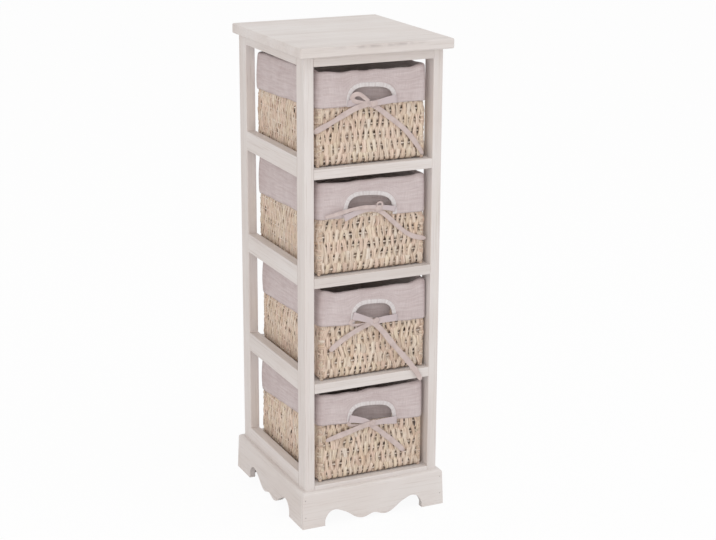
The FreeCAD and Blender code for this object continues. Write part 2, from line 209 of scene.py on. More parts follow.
def raised(tree, shader, height, distance, strength):
    """Bump from a height into a shader's normal."""
    bump = put(tree, "Bump", {"Height": height, "Distance": distance, "Strength": strength})
    tree.links.new(bump.outputs["Normal"], shader.inputs["Normal"])


white = paint(255, 255, 255)
black = paint(0, 0, 0)
print("noise and mixes ready")

# %% [markdown]
# ## Whitewashed wood
# The real wood is a light softwood brushed with thin white paint. The paint keeps a faint grain, a
# little warmer in the pores, and rubs off along the edges. Grain follows each stick, so the same recipe
# is made three times, drawn out along X, Y or Z. The Bevel node finds the edges: where the softened
# normal leaves the true one, paint is thin.

# %% Whitewashed wood
worn_edge_radius = 1.6 * mm
broad_grain_height_share = 0.5


def grain_of(tree, place, axis, across, along, detail, roughness=0.55):
    """Streaks of grain: noise with one scale across an axis and a smaller one along it."""
    scale = [across, across, across]
    scale[axis] = along
    return streaks_of(tree, place, scale, detail, roughness)


def whitewash(name, grain_axis, wear=0.25):
    """White paint over wood: broad and fine grain along an axis, clouds, and wear where an edge turns."""
    material, tree, shader = new_finish(name)
    place = place_of(tree)
    broad = grain_of(tree, place, grain_axis, across=26.0, along=1.6, detail=4.0)
    fine = grain_of(tree, place, grain_axis, across=520.0, along=11.0, detail=3.0, roughness=0.7)
    clouds = noise_of(tree, place, scale=9.0, detail=2.0)
    coat = ramp(tree, broad, [
        (0.30, paint(213, 205, 201)),
        (0.50, paint(222, 215, 212)),
        (0.72, paint(226, 221, 219)),
    ])
    coat = shaded(tree, coat, fine, share=0.35, low=0.30, shade=paint(206, 194, 185), high=0.47)
    coat = shaded(tree, coat, clouds, share=0.5, low=0.35, shade=paint(247, 243, 240), high=0.65)
    true_normal = put(tree, "NewGeometry").outputs["Normal"]
    soft_normal = put(tree, "Bevel", {"Radius": worn_edge_radius}, samples=4).outputs["Normal"]
    facing = put(tree, "VectorMath", {0: soft_normal, 1: true_normal}, operation="DOT_PRODUCT")
    edge = math_of(tree, "SUBTRACT", 1.0, facing.outputs["Value"])
    rubbed = ramp(tree, times(tree, edge, broad, fine), [(0.012, black), (0.05, white)])
    colour = mixed(tree, times(tree, rubbed, wear), coat, paint(178, 160, 146))
    gloss = ramp(tree, fine, [(0.3, grey(0.62)), (0.7, grey(0.5))])
    fill(tree, shader, {"Base Color": colour, "Roughness": gloss})
    height = math_of(tree, "ADD", times(tree, broad, broad_grain_height_share), fine)
    raised(tree, shader, height, distance=0.25 * mm, strength=0.35)
    return material


wood_along = [whitewash("whitewash along " + letter, axis) for axis, letter in enumerate("XYZ")]
print(len(wood_along), "directions of grain")

# %% [markdown]
# ### Worn line on the top
# The top board's front edge has a broken grey line, where hands have rubbed it. It could be a mark on
# the mesh, but the mesh belongs to the frame, so the finish reads the place of each point and lets
# noise break the line. A ramp starts at 0, so places across and in depth are moved up before they go
# in.

# %% Worn line on the top
top_low, top_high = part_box("top_board")
ramp_zero = 0.5
worn_line_share = 0.6


def worn_front_edge(material):
    """Grey line just under the top board's front upper edge, faded to both sides and broken by noise."""
    tree = material.node_tree
    shader = tree.nodes["Principled BSDF"]
    coat = shader.inputs["Base Color"].links[0].from_socket
    place = place_of(tree)
    axes = axes_of(tree, place)
    under_edge = ramp(tree, axes["Z"], [
        (top_high.z - 4.0 * mm, black),
        (top_high.z - 2.9 * mm, white),
        (top_high.z - 1.3 * mm, white),
        (top_high.z - 0.2 * mm, black),
    ])
    along = ramp(tree, math_of(tree, "ADD", axes["X"], ramp_zero), [
        (ramp_zero - 80 * mm, black),
        (ramp_zero - 40 * mm, white),
        (ramp_zero + 40 * mm, white),
        (ramp_zero + 90 * mm, black),
    ])
    in_front = ramp(tree, math_of(tree, "ADD", axes["Y"], ramp_zero), [
        (ramp_zero + top_low.y + 1.25 * mm, white),
        (ramp_zero + top_low.y + 2.75 * mm, black),
    ])
    broken = ramp(tree, noise_of(tree, place, scale=45.0, detail=3.0), [(0.38, black), (0.55, white)])
    line = times(tree, under_edge, along, in_front, broken, worn_line_share)
    fill(tree, shader, {"Base Color": mixed(tree, line, coat, paint(160, 147, 146))})
    return material


top_finish = worn_front_edge(whitewash("whitewash of the top", 0, wear=0.6))
print("worn line from", round(top_high.z - 4.0 * mm, 4), "to", round(top_high.z, 4), "m")

# %% [markdown]
# ### Dowels, brads and wires
# The dowels are bare hardwood and the brads and rim wires dull drawn steel. They hardly show, but a
# flat colour would look wrong when the model is taken apart, so both get a little noise. Then each CAD
# node takes its finish by the start of its name, with the grain along its longest side.

# %% Finishes of the CAD nodes


def bare_wood():
    """Unpainted hardwood: two tones of brown mixed by noise."""
    material, tree, shader = new_finish("dowel wood")
    streaks = streaks_of(tree, place_of(tree), scale=(300.0, 300.0, 300.0), detail=4.0)
    colour = ramp(tree, streaks, [(0.3, paint(178, 142, 104)), (0.7, paint(208, 178, 140))])
    fill(tree, shader, {"Base Color": colour, "Roughness": 0.7})
    return material


def drawn_steel():
    """Dull drawn wire: metal whose tint and gloss follow fine scratches."""
    material, tree, shader = new_finish("drawn steel")
    scratches = noise_of(tree, place_of(tree), scale=900.0, detail=2.0)
    tint = ramp(tree, scratches, [(0.3, paint(150, 148, 146)), (0.7, paint(176, 174, 171))])
    gloss = ramp(tree, scratches, [(0.3, grey(0.35)), (0.7, grey(0.55))])
    fill(tree, shader, {"Base Color": tint, "Roughness": gloss, "Metallic": 1.0})
    return material


steel_finish = drawn_steel()
finishes_by_start = {
    "top_board": top_finish,
    "dowel_pins": bare_wood(),
    "brad_pins": steel_finish,
    "post_": wood_along[2],
}
for start in ("front_rail_", "rear_rail_", "apron_front", "apron_rear"):
    finishes_by_start[start] = wood_along[0]
for start in ("left_rail_", "right_rail_", "apron_left", "apron_right", "runners_"):
    finishes_by_start[start] = wood_along[1]
finished = 0
for node_name, node_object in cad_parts.items():
    for start, finish in finishes_by_start.items():
        if node_name.startswith(start):
            node_object.data.materials.clear()
            node_object.data.materials.append(finish)
            finished += 1
print(finished, "CAD nodes have their finish")

# %% [markdown]
# ## Meshes from arrays
# All soft pieces are surfaces worked out as whole arrays. A surface on a grid needs only its points and
# the rule that joins each point to its neighbours. A strand, a ribbon and a tape are the same thing: a
# closed profile carried along a path. So one function makes the grid's faces, one carries profiles
# along many paths at once, one joins such parts, and one turns the arrays into a Blender object that
# rides on its basket.

# %% Points and profiles


def unit(vectors):
    """Vectors divided by their own length."""
    return vectors / np.maximum(np.linalg.norm(vectors, axis=-1, keepdims=True), 1e-12)


def triples(first, second, third):
    """Points or marks from three coordinates that spread over each other."""
    return np.stack(np.broadcast_arrays(first, second, third), -1)


def covered(reach, length):
    """Share of a length that a reach covers, from 0 to 1."""
    return np.clip(reach / length, 0, 1)


def smooth(share):
    """Share eased at both ends: its square times three less twice itself."""
    return share ** 2 * (3 - 2 * share)


def squared(value, power):
    """Value to a power below one, with its sign kept, which squares a circle's corners."""
    return np.sign(value) * np.abs(value) ** power


def round_profile(around):
    """Unit circle."""
    angle = np.arange(around) * 2 * np.pi / around
    return np.stack([np.cos(angle), np.sin(angle)], -1)


def flat_profile(around, power):
    """Circle with squared corners, which looks flat once it is wide and thin."""
    return squared(round_profile(around), power)


def travelled(line):
    """Distance along a line at each of its points."""
    return np.concatenate([[0], np.cumsum(np.linalg.norm(np.diff(line, axis=0), axis=1))])


def waves(chance, where, length, amount=1.0, count=4):
    """Smooth chance, about -amount to amount: sines of random phase, with lengths spread about one."""
    lengths = length * chance.uniform(0.6, 1.7, count)
    phases = chance.uniform(0, 2 * np.pi, (count,) + where.shape[:-1] + (1,))
    total = sum(np.sin(2 * np.pi * where / span + phase) for span, phase in zip(lengths, phases))
    return amount * total / count ** 0.5 / 1.2


print("profile of 8 points:", np.round(round_profile(8)[:, 0], 2))

# %% Meshes from arrays


def grid_quads(rows, columns):
    """Quads between each point, the next in its row, and the two above them; each row closes on itself."""
    row, column = np.meshgrid(np.arange(rows - 1), np.arange(columns), indexing="ij")
    after = (column + 1) % columns
    here = row * columns
    above = here + columns
    return np.stack([here + column, here + after, above + after, above + column], -1).reshape(-1, 4)


def carried(paths, across, half_width, half_depth, profile):
    """Profiles carried along paths: point = path + width * p * side + depth * q * face, for each (p, q)
    of a profile.

    Paths have the shape (path, ring, 3), or (ring, 3) for one path. The side is across made square to
    the path, and the face is the path's direction crossed with the side. Returns points as (path, ring,
    profile, 3), quads and end caps."""
    paths = paths.reshape(-1, *paths.shape[-2:])
    count, rings = paths.shape[:2]
    around = len(profile)
    ahead = unit(np.gradient(paths, axis=1))
    side = unit(across - np.sum(across * ahead, -1, keepdims=True) * ahead)
    face = np.cross(ahead, side)
    wide = np.broadcast_to(half_width, (count, rings))[..., None] * profile[:, 0]
    deep = np.broadcast_to(half_depth, (count, rings))[..., None] * profile[:, 1]
    grid = paths[:, :, None] + wide[..., None] * side[:, :, None] + deep[..., None] * face[:, :, None]
    first = np.arange(count)[:, None, None] * rings * around
    quads = (grid_quads(rings, around) + first).reshape(-1, 4)
    cap = np.arange(around)
    starts = cap[::-1] + first[:, 0]
    ends = cap + (rings - 1) * around + first[:, 0]
    return grid, quads, np.concatenate([starts, ends])


def joined(parts):
    """Points, faces and marks of many parts as one; a part is its points, quads, caps and any marks."""
    firsts = np.cumsum([0] + [part[0].size // 3 for part in parts])
    faces = []
    for part, first in zip(parts, firsts):
        faces += (part[1] + first).tolist() + (part[2] + first).tolist()
    points, _, _, *marks = zip(*parts)
    points, *marks = [np.concatenate([array.reshape(-1, 3) for array in kind]) for kind in (points, *marks)]
    return points, faces, marks


print("grid of 3 by 4 points:", len(grid_quads(3, 4)), "quads")

# %% Pieces


def make_piece(name, number, surface, finish, slot, *labels):
    """Smooth mesh object that rides on a basket, from points, faces and marks; each label names a mark."""
    points, faces, marks = surface
    full_name = "%s_%d" % (name, number)
    mesh = bpy.data.meshes.new(full_name)
    mesh.from_pydata(points.tolist(), [], faces)
    mesh.polygons.foreach_set("use_smooth", np.ones(len(mesh.polygons), bool))
    for label, values in zip(labels, marks):
        mark = mesh.attributes.new(label, "FLOAT_VECTOR", "POINT")
        mark.data.foreach_set("vector", np.asarray(values, np.float32).ravel())
    mesh.materials.append(finish)
    mesh.update()
    piece = bpy.data.objects.new(full_name, mesh)
    bpy.context.scene.collection.objects.link(piece)
    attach(piece, "basket_%d" % number)
    return piece


# %% [markdown]
# ## Four baskets, each a little different
# The baskets are made by hand. Each one's place comes from the frame, but the arch of its hand hole,
# its hem, its rim and its bulge are its own. They could be left to chance, but these show from a step
# away, so they are a few numbers read off the photograph. The weave, the wire and the liner share them,
# and so stay together.

# %% Four baskets
# The arch stands on the hem, which hangs a little off its mean height and leans, as the arch does. The
# woven edge is the hand hole's lower edge. The rim hangs lower in front and at the rear, and the cloth
# is hollow behind the hole
basket_shapes = [
    dict(arch_middle=0.0 * mm, arch_half_width=37.0 * mm, arch_rise=28.0 * mm, arch_lean=-0.01,
         hem=0.5 * mm, hem_lean=-0.071, woven_edge=92.0 * mm,
         rim_drop=1.5 * mm, rear_drop=0.5 * mm, right_bulge=1.6 * mm, hollow=14.0 * mm),
    dict(arch_middle=-1.0 * mm, arch_half_width=33.5 * mm, arch_rise=32.6 * mm, arch_lean=0.0,
         hem=-5.6 * mm, hem_lean=-0.055, woven_edge=91.0 * mm,
         rim_drop=4.5 * mm, rear_drop=0.5 * mm, right_bulge=0.5 * mm, hollow=7.5 * mm),
    dict(arch_middle=-4.0 * mm, arch_half_width=39.5 * mm, arch_rise=33.7 * mm, arch_lean=-0.056,
         hem=-2.7 * mm, hem_lean=-0.024, woven_edge=97.0 * mm,
         rim_drop=1.3 * mm, rear_drop=1.0 * mm, right_bulge=2.4 * mm, hollow=9.5 * mm),
    dict(arch_middle=-1.0 * mm, arch_half_width=36.0 * mm, arch_rise=28.2 * mm, arch_lean=-0.057,
         hem=-0.2 * mm, hem_lean=-0.003, woven_edge=94.5 * mm,
         rim_drop=3.2 * mm, rear_drop=4.5 * mm, right_bulge=2.2 * mm, hollow=6.5 * mm),
]
seat_gap = 0.2 * mm
baskets = []
for number, shape in enumerate(basket_shapes, 1):
    low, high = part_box("basket_weave_%d" % number)
    middle = (low.x + high.x) / 2
    baskets.append(SimpleNamespace(number=number, base=low.z - seat_gap, middle=middle, **shape))
weave_low, weave_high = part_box("basket_weave_1")
weave_front = weave_low.y
weave_rear = weave_high.y
weave_half_width = (weave_high.x - weave_low.x) / 2
liner_low, liner_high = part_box("liner_1")
basket_width = liner_high.x - liner_low.x
basket_height = liner_high.z - baskets[0].base
basket_front = liner_low.y
basket_rear = liner_high.y
rail_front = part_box("front_rail_1")[0].y
print("baskets %.0f mm wide and %.0f mm high" % (basket_width / mm, basket_height / mm))

# %% [markdown]
# ## Ribbons
# Each liner is tied with two narrow tape ribbons. They leave the two lower ends of the white tape,
# cross in a knot and hang down over the weave; a bow loop sticks out of the knot. A ribbon could be
# cloth that is simulated, but it is a strip of fixed length, so its line is drawn first as one smooth
# spline through listed control points, and a flat profile is carried along it. The second
# basket's long tail hangs outside, in front of the rail.

# %% Ribbon routes
# Shares of a basket's width, from its middle, and of its height, from its base
tie_route_shares = [
    {
        "left": [(-0.218, 0.700), (-0.119, 0.670), (-0.037, 0.620), (0.037, 0.540), (0.106, 0.462),
                 (0.174, 0.385), (0.243, 0.302), (0.318, 0.208)],
        "right": [(0.231, 0.601), (0.136, 0.612), (0.050, 0.612), (-0.048, 0.606), (-0.127, 0.587),
                  (-0.196, 0.563), (-0.275, 0.537), (-0.349, 0.515), (-0.438, 0.489)],
        "loop": [(-0.030, 0.630), (-0.111, 0.665), (-0.185, 0.677), (-0.222, 0.655), (-0.222, 0.625),
                 (-0.180, 0.610), (-0.111, 0.605), (-0.030, 0.607)],
        "knot": (-0.005, 0.617),
        "outer": "right",
        "loop_width": 5.4 * mm,
        "loop_behind": True,
        "widths": {"left": 9.0 * mm, "right": 9.0 * mm},
    },
    {
        "left": [(-0.206, 0.703), (-0.132, 0.666), (-0.059, 0.631), (0.016, 0.560), (0.084, 0.460),
                 (0.150, 0.345), (0.217, 0.240), (0.287, 0.137), (0.350, 0.033), (0.396, -0.053),
                 (0.428, -0.127)],
        "right": [(0.213, 0.614), (0.117, 0.612), (0.042, 0.608), (-0.048, 0.585), (-0.133, 0.548),
                  (-0.217, 0.498), (-0.290, 0.443), (-0.354, 0.388), (-0.412, 0.332)],
        "loop": [(-0.020, 0.630), (-0.105, 0.650), (-0.180, 0.655), (-0.222, 0.635), (-0.226, 0.605),
                 (-0.190, 0.588), (-0.110, 0.583), (-0.020, 0.590)],
        "knot": (0.006, 0.615),
        "outer": "left",
        "loop_width": 5.4 * mm,
        "loop_behind": True,
        "widths": {"left": 9.0 * mm, "right": 9.0 * mm},
    },
    {
        "left": [(-0.265, 0.612), (-0.200, 0.640), (-0.125, 0.668), (-0.050, 0.684), (0.030, 0.672),
                 (0.105, 0.615), (0.172, 0.535), (0.240, 0.455), (0.305, 0.383), (0.372, 0.330),
                 (0.445, 0.300), (0.505, 0.285)],
        "right": [(0.205, 0.655), (0.133, 0.680), (0.061, 0.692), (-0.024, 0.708), (-0.114, 0.712),
                  (-0.204, 0.700), (-0.294, 0.677), (-0.373, 0.660), (-0.442, 0.648)],
        "loop": [(0.038, 0.695), (0.026, 0.722), (0.042, 0.750), (0.074, 0.746), (0.084, 0.717),
                 (0.066, 0.693)],
        "knot": (0.046, 0.683),
        "outer": "right",
        "loop_width": 3.2 * mm,
        "loop_behind": False,
        "widths": {"left": 7.4 * mm, "right": 6.2 * mm},
    },
    {
        "left": [(-0.228, 0.655), (-0.111, 0.653), (0.005, 0.617), (0.090, 0.540), (0.190, 0.440),
                 (0.286, 0.345), (0.350, 0.262), (0.415, 0.155), (0.473, 0.040)],
        "right": [(0.212, 0.670), (0.126, 0.658), (0.050, 0.642), (-0.045, 0.635), (-0.153, 0.607),
                  (-0.249, 0.550), (-0.344, 0.485), (-0.434, 0.427), (-0.525, 0.377)],
        "loop": [(-0.040, 0.660), (-0.085, 0.710), (-0.132, 0.752), (-0.182, 0.742), (-0.196, 0.693),
                 (-0.146, 0.660), (-0.040, 0.637)],
        "knot": (0.008, 0.634),
        "outer": "right",
        "loop_width": 7.0 * mm,
        "loop_behind": False,
        "widths": {"left": 8.2 * mm, "right": 8.8 * mm},
    },
]
ribbon_lengths = {
    "left": [121.6 * mm, 177.6 * mm, 158.0 * mm, 163.8 * mm],
    "right": [122.4 * mm, 136.7 * mm, 125.1 * mm, 147.0 * mm],
}
print(sum(len(routes["left"]) + len(routes["right"]) for routes in tie_route_shares), "control points")

# %% [markdown]
# ### Ribbon cloth
# The ribbons are the liner's pale mauve cotton, folded into a narrow tape. Close up, the tape shows its
# twill as a fine diagonal rib. The rib follows the ribbon, so the finish reads marks that the mesh
# carries: how far across and how far along each point lies. Near the cuff the tape has kept a cooler
# tone.

# %% Ribbon cloth


def ribbon_cloth():
    """Mauve tape: a diagonal rib of sines over (across + along), slow stains, and a cooler start."""
    material, tree, shader = new_finish("ribbon cloth")
    tape = marked(tree, "tape")
    turned = put(tree, "Mapping", {"Vector": tape, "Rotation": (0, 0, math.radians(40))}).outputs["Vector"]
    rib = put(tree, "TexWave", {"Vector": turned, "Scale": 320.0, "Distortion": 0.6}).outputs["Fac"]
    stains = noise_of(tree, tape, scale=90.0, detail=3.0)
    colour = ramp(tree, stains, [(0.3, paint(196, 179, 175)), (0.7, paint(213, 197, 193))])
    near_cuff = ramp(tree, axes_of(tree, tape)["Y"], [(0.018, white), (0.05, black)])
    colour = mixed(tree, near_cuff, colour, paint(202, 189, 191))
    colour = shaded(tree, colour, rib, share=0.35, low=0.0, shade=paint(225, 219, 219), high=1.0)
    fill(tree, shader, {"Base Color": colour, "Roughness": 0.85, "Sheen Weight": 0.15})
    raised(tree, shader, rib, distance=0.12 * mm, strength=0.4)
    return material


ribbon_finish = ribbon_cloth()
print(ribbon_finish.name, "has", len(ribbon_finish.node_tree.nodes), "nodes")

# %% [markdown]
# ### Ribbon surface
# A curve with a bevel could be a ribbon too, but it can't twist, flare and taper at once. So the spline
# only gives its points, and the flat profile is carried along them with a width and a turn of its own
# at each point.

# %% Ribbon lines


def spline_line(control):
    """Points along the smooth line that one NURBS spline of order 3 draws with these control points."""
    curve = bpy.data.curves.new("route", "CURVE")
    curve.dimensions = "3D"
    spline = curve.splines.new("NURBS")
    spline.points.add(len(control) - 1)
    spline.points.foreach_set("co", np.column_stack([control, np.ones(len(control))]).ravel())
    spline.order_u = 3
    spline.use_endpoint_u = True
    spline.resolution_u = 8
    holder = bpy.data.objects.new("route", curve)
    mesh = bpy.data.meshes.new_from_object(holder)
    line = np.empty(len(mesh.vertices) * 3)
    mesh.vertices.foreach_get("co", line)
    bpy.data.objects.remove(holder)
    bpy.data.curves.remove(curve)
    bpy.data.meshes.remove(mesh)
    return line.reshape(-1, 3)


print("ribbon lines ready")

# %% Ribbon surface
ribbon_thickness = 0.9 * mm
flare_width = 1.8 * mm
flare_length = 44 * mm
flare_power = 1.3
taper_length = 7 * mm
taper_share = 0.5
taper_power = 0.6


def ribbon_surface(line, half_width, turn, cup=0.0):
    """Flat profile carried along a line; turn twists it about the line, and cup bends its edges back."""
    half_width = np.broadcast_to(half_width, len(line))[:, None]
    turn = np.broadcast_to(turn, len(line))[:, None]
    ahead = unit(np.gradient(line, axis=0))
    level = unit(np.cross(-y_axis, ahead))
    across = np.cos(turn) * level + np.sin(turn) * np.cross(ahead, level)
    profile = flat_profile(16, power=0.6)
    grid, quads, caps = carried(line, across, half_width[:, 0], ribbon_thickness / 2, profile)
    bent = (cup * profile[:, 0] ** 2)[:, None] * np.cross(ahead, across)[:, None]
    tape = triples(half_width * profile[:, 0], travelled(line)[:, None], 0.0)
    return joined([(grid + bent, quads, caps, tape)])


def ribbon_half_widths(chance, far, width):
    """Half width along a ribbon: flared at the cuff, a little uneven, narrower over its last stretch."""
    leaving = covered(flare_length - far, flare_length)
    ending = covered(far[-1] - far, taper_length)
    uneven = 1 + waves(chance, far, length=45 * mm, amount=0.07)
    plain = width / 2 * uneven + flare_width * leaving ** flare_power
    return plain * (taper_share + (1 - taper_share) * ending ** taper_power)


print("ribbons are", ribbon_thickness / mm, "mm thick")

# %% [markdown]
# ### Knots
# A knot could be made of the crossing ribbons, pulled tight, but at this size it reads as a small
# pillow with two creases. That is one closed surface, which can't cut through itself.

# %% Knots
knot_half_sizes = np.array([5.8, 1.9, 4.3]) * mm
knot_tilt = math.radians(24)
knot_power = 0.7
crease_place = 0.42
crease_slant = 0.18
crease_width = 0.10
crease_depth = 0.30


def fan(ring, pole):
    """Triangles from a ring of point numbers to a pole."""
    return np.stack([ring, np.roll(ring, -1), np.full(len(ring), pole)], -1).tolist()


def knot_surface(centre, turns=28, rows=15):
    """Pillow of a knot: an ellipsoid with squared sides, nipped by two creases that run down it, and tilted.

    x, y and z are the half sizes times cosine * cosine, cosine * sine and sine of latitude and longitude,
    each to a power with its sign kept. The creases are narrow dips in depth to each side of the middle."""
    latitude = np.linspace(-np.pi / 2, np.pi / 2, rows + 2)[1:-1, None]
    level = squared(np.cos(latitude), knot_power)
    x_share, y_share = squared(round_profile(turns), knot_power).T
    shape = triples(level * x_share, level * y_share, squared(np.sin(latitude), knot_power))
    off_middle = np.abs(shape[..., 0] + crease_slant * shape[..., 2])
    shape[..., 1] *= 1 - crease_depth * np.exp(-((off_middle - crease_place) / crease_width) ** 2)
    plain = np.concatenate([shape.reshape(-1, 3), [-upright, upright]]) * knot_half_sizes
    cosine, sine = math.cos(knot_tilt), math.sin(knot_tilt)
    points = centre + plain @ np.array([[cosine, 0, sine], [0, 1, 0], [-sine, 0, cosine]])
    ring = np.arange(turns)
    low_pole = rows * turns
    faces = grid_quads(rows, turns).tolist()
    faces += fan(ring[::-1], low_pole) + fan(ring + low_pole - turns, low_pole + 1)
    return points, faces, [points[:, [0, 2, 1]]]


print("a knot is %.1f mm wide" % (2 * knot_half_sizes[0] / mm))

# %% [markdown]
# ### Tying the ribbons
# Seen from the front, a route's control points say where a ribbon goes. Its depth could be picked by hand
# too, but then it would soon float or cut into the cloth, so it follows from what the ribbon lies on: the
# cuff above, the weave below, or the air in front of the rail. Where two ribbons cross, one lies a layer
# further out. The knot lies over both, and the loop lies as far out as the knot or behind the ribbons.

# %% Depths of the ribbons
ribbon_step = 1.3 * mm
outer_layer = 1.9
inner_layer = 0.8
knot_layer = 2.6
hidden_loop_layer = 0.4
settle_height = 86 * mm
settle_length = 25 * mm
hang_height = 92 * mm
hang_length = 86 * mm


def place_on_front(shares, basket, depth):
    """Places in metres of route points given as shares of a basket's width and height, at depths in Y."""
    across, up = np.transpose(shares)
    return triples(basket.middle + across * basket_width, depth, basket.base + up * basket_height)


def layer_depth(layer):
    """Y of a layer of ribbon on the cuff."""
    return basket_front - ribbon_step * (1 + layer)


def ribbon_depth(shares, layer, hangs_out):
    """Y of a ribbon: on the cuff, nearer to the weave below it, or past the rail where it hangs outside."""
    height = np.asarray(shares)[:, 1] * basket_height
    on_cuff = layer_depth(layer) - ribbon_thickness / 2
    if hangs_out:
        past_rail = rail_front - 2 * ribbon_step
        return on_cuff + (past_rail - on_cuff) * covered(hang_height - height, hang_length)
    on_weave = weave_front - ribbon_thickness
    return on_cuff + (on_weave - on_cuff) * covered(settle_height - height, settle_length)


print("a layer of ribbon is %.1f mm" % (ribbon_step / mm))

# %% Tying the ribbons
loop_turn = math.radians(20)
ribbon_twist = math.radians(13)
ribbon_cup = 0.35 * mm
ribbon_seed = 40
visual_lengths = {}
for basket, routes in zip(baskets, tie_route_shares):
    number = basket.number
    chance = np.random.default_rng(ribbon_seed + number)
    loop_depth = layer_depth(hidden_loop_layer if routes["loop_behind"] else knot_layer)
    loop_line = spline_line(place_on_front(routes["loop"], basket, loop_depth))
    surface = ribbon_surface(loop_line, routes["loop_width"] / 2, loop_turn)
    surface[2][0][:, 1] += ribbon_lengths["right"][number - 1]
    loop = make_piece("ribbon_loop", number, surface, ribbon_finish, "ribbon", "tape")
    surface = knot_surface(place_on_front([routes["knot"]], basket, layer_depth(knot_layer)))
    knot = make_piece("ribbon_knot", number, surface, ribbon_finish, "ribbon", "tape")
    for side in ("left", "right"):
        shares = routes[side]
        width = routes["widths"][side]
        hangs_out = min(up for across, up in shares) < 0
        layer = outer_layer if routes["outer"] == side else inner_layer
        line = spline_line(place_on_front(shares, basket, ribbon_depth(shares, layer, hangs_out)))
        far = travelled(line)
        turn = waves(chance, far, length=60 * mm, amount=ribbon_twist)
        surface = ribbon_surface(line, ribbon_half_widths(chance, far, width), turn, ribbon_cup)
        ribbon = make_piece("ribbon_" + side, number, surface, ribbon_finish, "ribbon", "tape")
        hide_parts("tie_%s_%d" % (side, number))
        visual_lengths[side, number] = round(far[-1] / mm, 1)
print("ribbon lengths, mm:", visual_lengths)

# %% [markdown]
# ## Woven husk
# The baskets are plain weave: flat strands of dried husk run up the walls, in front of one horizontal
# stake and behind the next, each strand opposite to its neighbours. Husk is pale and warm outside, with
# fibres along the strand. The gaps get painted shade as well as the light's own: each point carries its
# depth as a mark, beside its tone and its place on the strand, and the finish browns it by that depth.

# %% Husk finish
tone_share = 0.7
blotch_share = 0.45


def husk_finish():
    """Dried husk: tone from chance, fibre streaks along the strand, and painted shade, dark brown, the
    deeper a point lies.
    """
    material, tree, shader = new_finish("dried husk")
    fibre = marked(tree, "fibre")
    tone_and_painted_shade = axes_of(tree, marked(tree, "husk"))
    streaks = streaks_of(tree, fibre, scale=(600.0, 24.0, 7.0), detail=3.0, roughness=0.6)
    blotches = streaks_of(tree, fibre, scale=(60.0, 40.0, 3.0), detail=2.0)
    tint = math_of(tree, "ADD", times(tree, tone_and_painted_shade["X"], tone_share), times(tree, blotches, blotch_share))
    colour = ramp(tree, tint, [
        (0.06, paint(222, 184, 148)),
        (0.20, paint(224, 200, 178)),
        (0.45, paint(231, 216, 200)),
        (0.60, paint(231, 208, 192)),
        (0.75, paint(229, 213, 191)),
        (0.95, paint(236, 225, 214)),
    ])
    colour = shaded(tree, colour, streaks, share=0.8, low=0.34, shade=paint(188, 171, 160), high=0.60)
    # painted shade: husk is mixed towards dark brown by its painted shade mark, so deeper points are darker
    colour = mixed(tree, tone_and_painted_shade["Y"], colour, paint(74, 53, 40))
    fill(tree, shader, {"Base Color": colour, "Roughness": 0.72})
    raised(tree, shader, streaks, distance=0.35 * mm, strength=0.6)
    return material


husk = husk_finish()
print(husk.name, "has", len(husk.node_tree.nodes), "nodes")

# %% [markdown]
# ### Strands
# A strand is pinched where it passes in front of a stake and spreads between two stakes, so a
# lozenge-shaped slot stays open beside each crossing, split by the stake behind it. A texture could
# only paint this, so every strand is built: its line swings in and out as a cosine of its height, and
# chance sways, tilts and widens it a little. In some patches, and near the foot, the weave is tighter
# and its slots are closed.

# %% Marks on husk
wall_thickness = 7 * mm
strand_swing = 2.3 * mm
strand_profile = round_profile(8)
leaf_spread = 40
least_tone = 0.12
tone_spread = 0.76
usual_shade = 0.75
tight_shade_loss = 0.5
least_shade = 0.15
shade_depth = 2.7 * mm
shade_length = 1.8 * mm


def husk_marks(grid, across, along, leaf, tone, painted_shade=0.0):
    """Marks on husk: place across, place along and leaf for its fibres, then tone and painted shade."""
    fibre = np.broadcast_to(triples(across, along, leaf), grid.shape)
    tone_and_painted_shade = np.broadcast_to(triples(tone, painted_shade, 0.0), grid.shape)
    return fibre, tone_and_painted_shade


def strand_marks(chance, wall, grid, height, half_width, tight):
    """Marks of strands: a leaf and a tone each, and painted shade that grows with depth, less if tight."""
    origin, _, outward, swing = wall
    count = len(grid)
    leaf = chance.uniform(0, leaf_spread, (count, 1, 1))
    tone = least_tone + tone_spread * chance.uniform(0, 1, (count, 1))
    tone = tone + waves(chance, height, length=90 * mm, amount=0.12)
    shade = usual_shade + waves(chance, height, length=30 * mm, amount=0.5) - tight_shade_loss * tight
    shade = np.clip(shade, least_shade, 1) * swing / strand_swing
    depth = wall_thickness / 2 - (grid - origin) @ outward
    # painted shade that grows with the depth behind the wall's face, where shade falls in the gaps
    painted_shade = covered(depth - shade_depth, shade_length) * shade[..., None]
    side = half_width[..., None] * strand_profile[:, 0]
    return husk_marks(grid, side, height[..., None], leaf, tone[..., None], painted_shade)


print("husk is shaded from %.1f mm behind the wall's face" % (shade_depth / mm))

# %% Strands
strand_half_width = 4.2 * mm
strand_half_depth = 1.0 * mm
pinch = 1.2 * mm
ring_step = 2.8 * mm
lowest_stake = 9.5 * mm
stake_pitch = 17.8 * mm
crossing_rate = 1.6
stay_outside = 0.75
usual_tightness = 0.5
tight_foot_height = 22 * mm
tight_foot_length = 14 * mm
loose_width_share = 0.96
tight_width_share = 0.26
foot_narrowing = 0.3
curl_reach = 6 * mm
curl_depth = 4 * mm


def patches(chance, across, up, length, amount):
    """Smooth chance over a wall, between about -amount and amount: six plane waves in random directions."""
    total = 0
    for turn in chance.uniform(0, np.pi, 6):
        there = across * math.cos(turn) + up * math.sin(turn)
        span = length * chance.uniform(0.7, 1.6)
        total = total + np.sin(2 * np.pi * there / span + chance.uniform(0, 2 * np.pi))
    return amount * total / 2.4


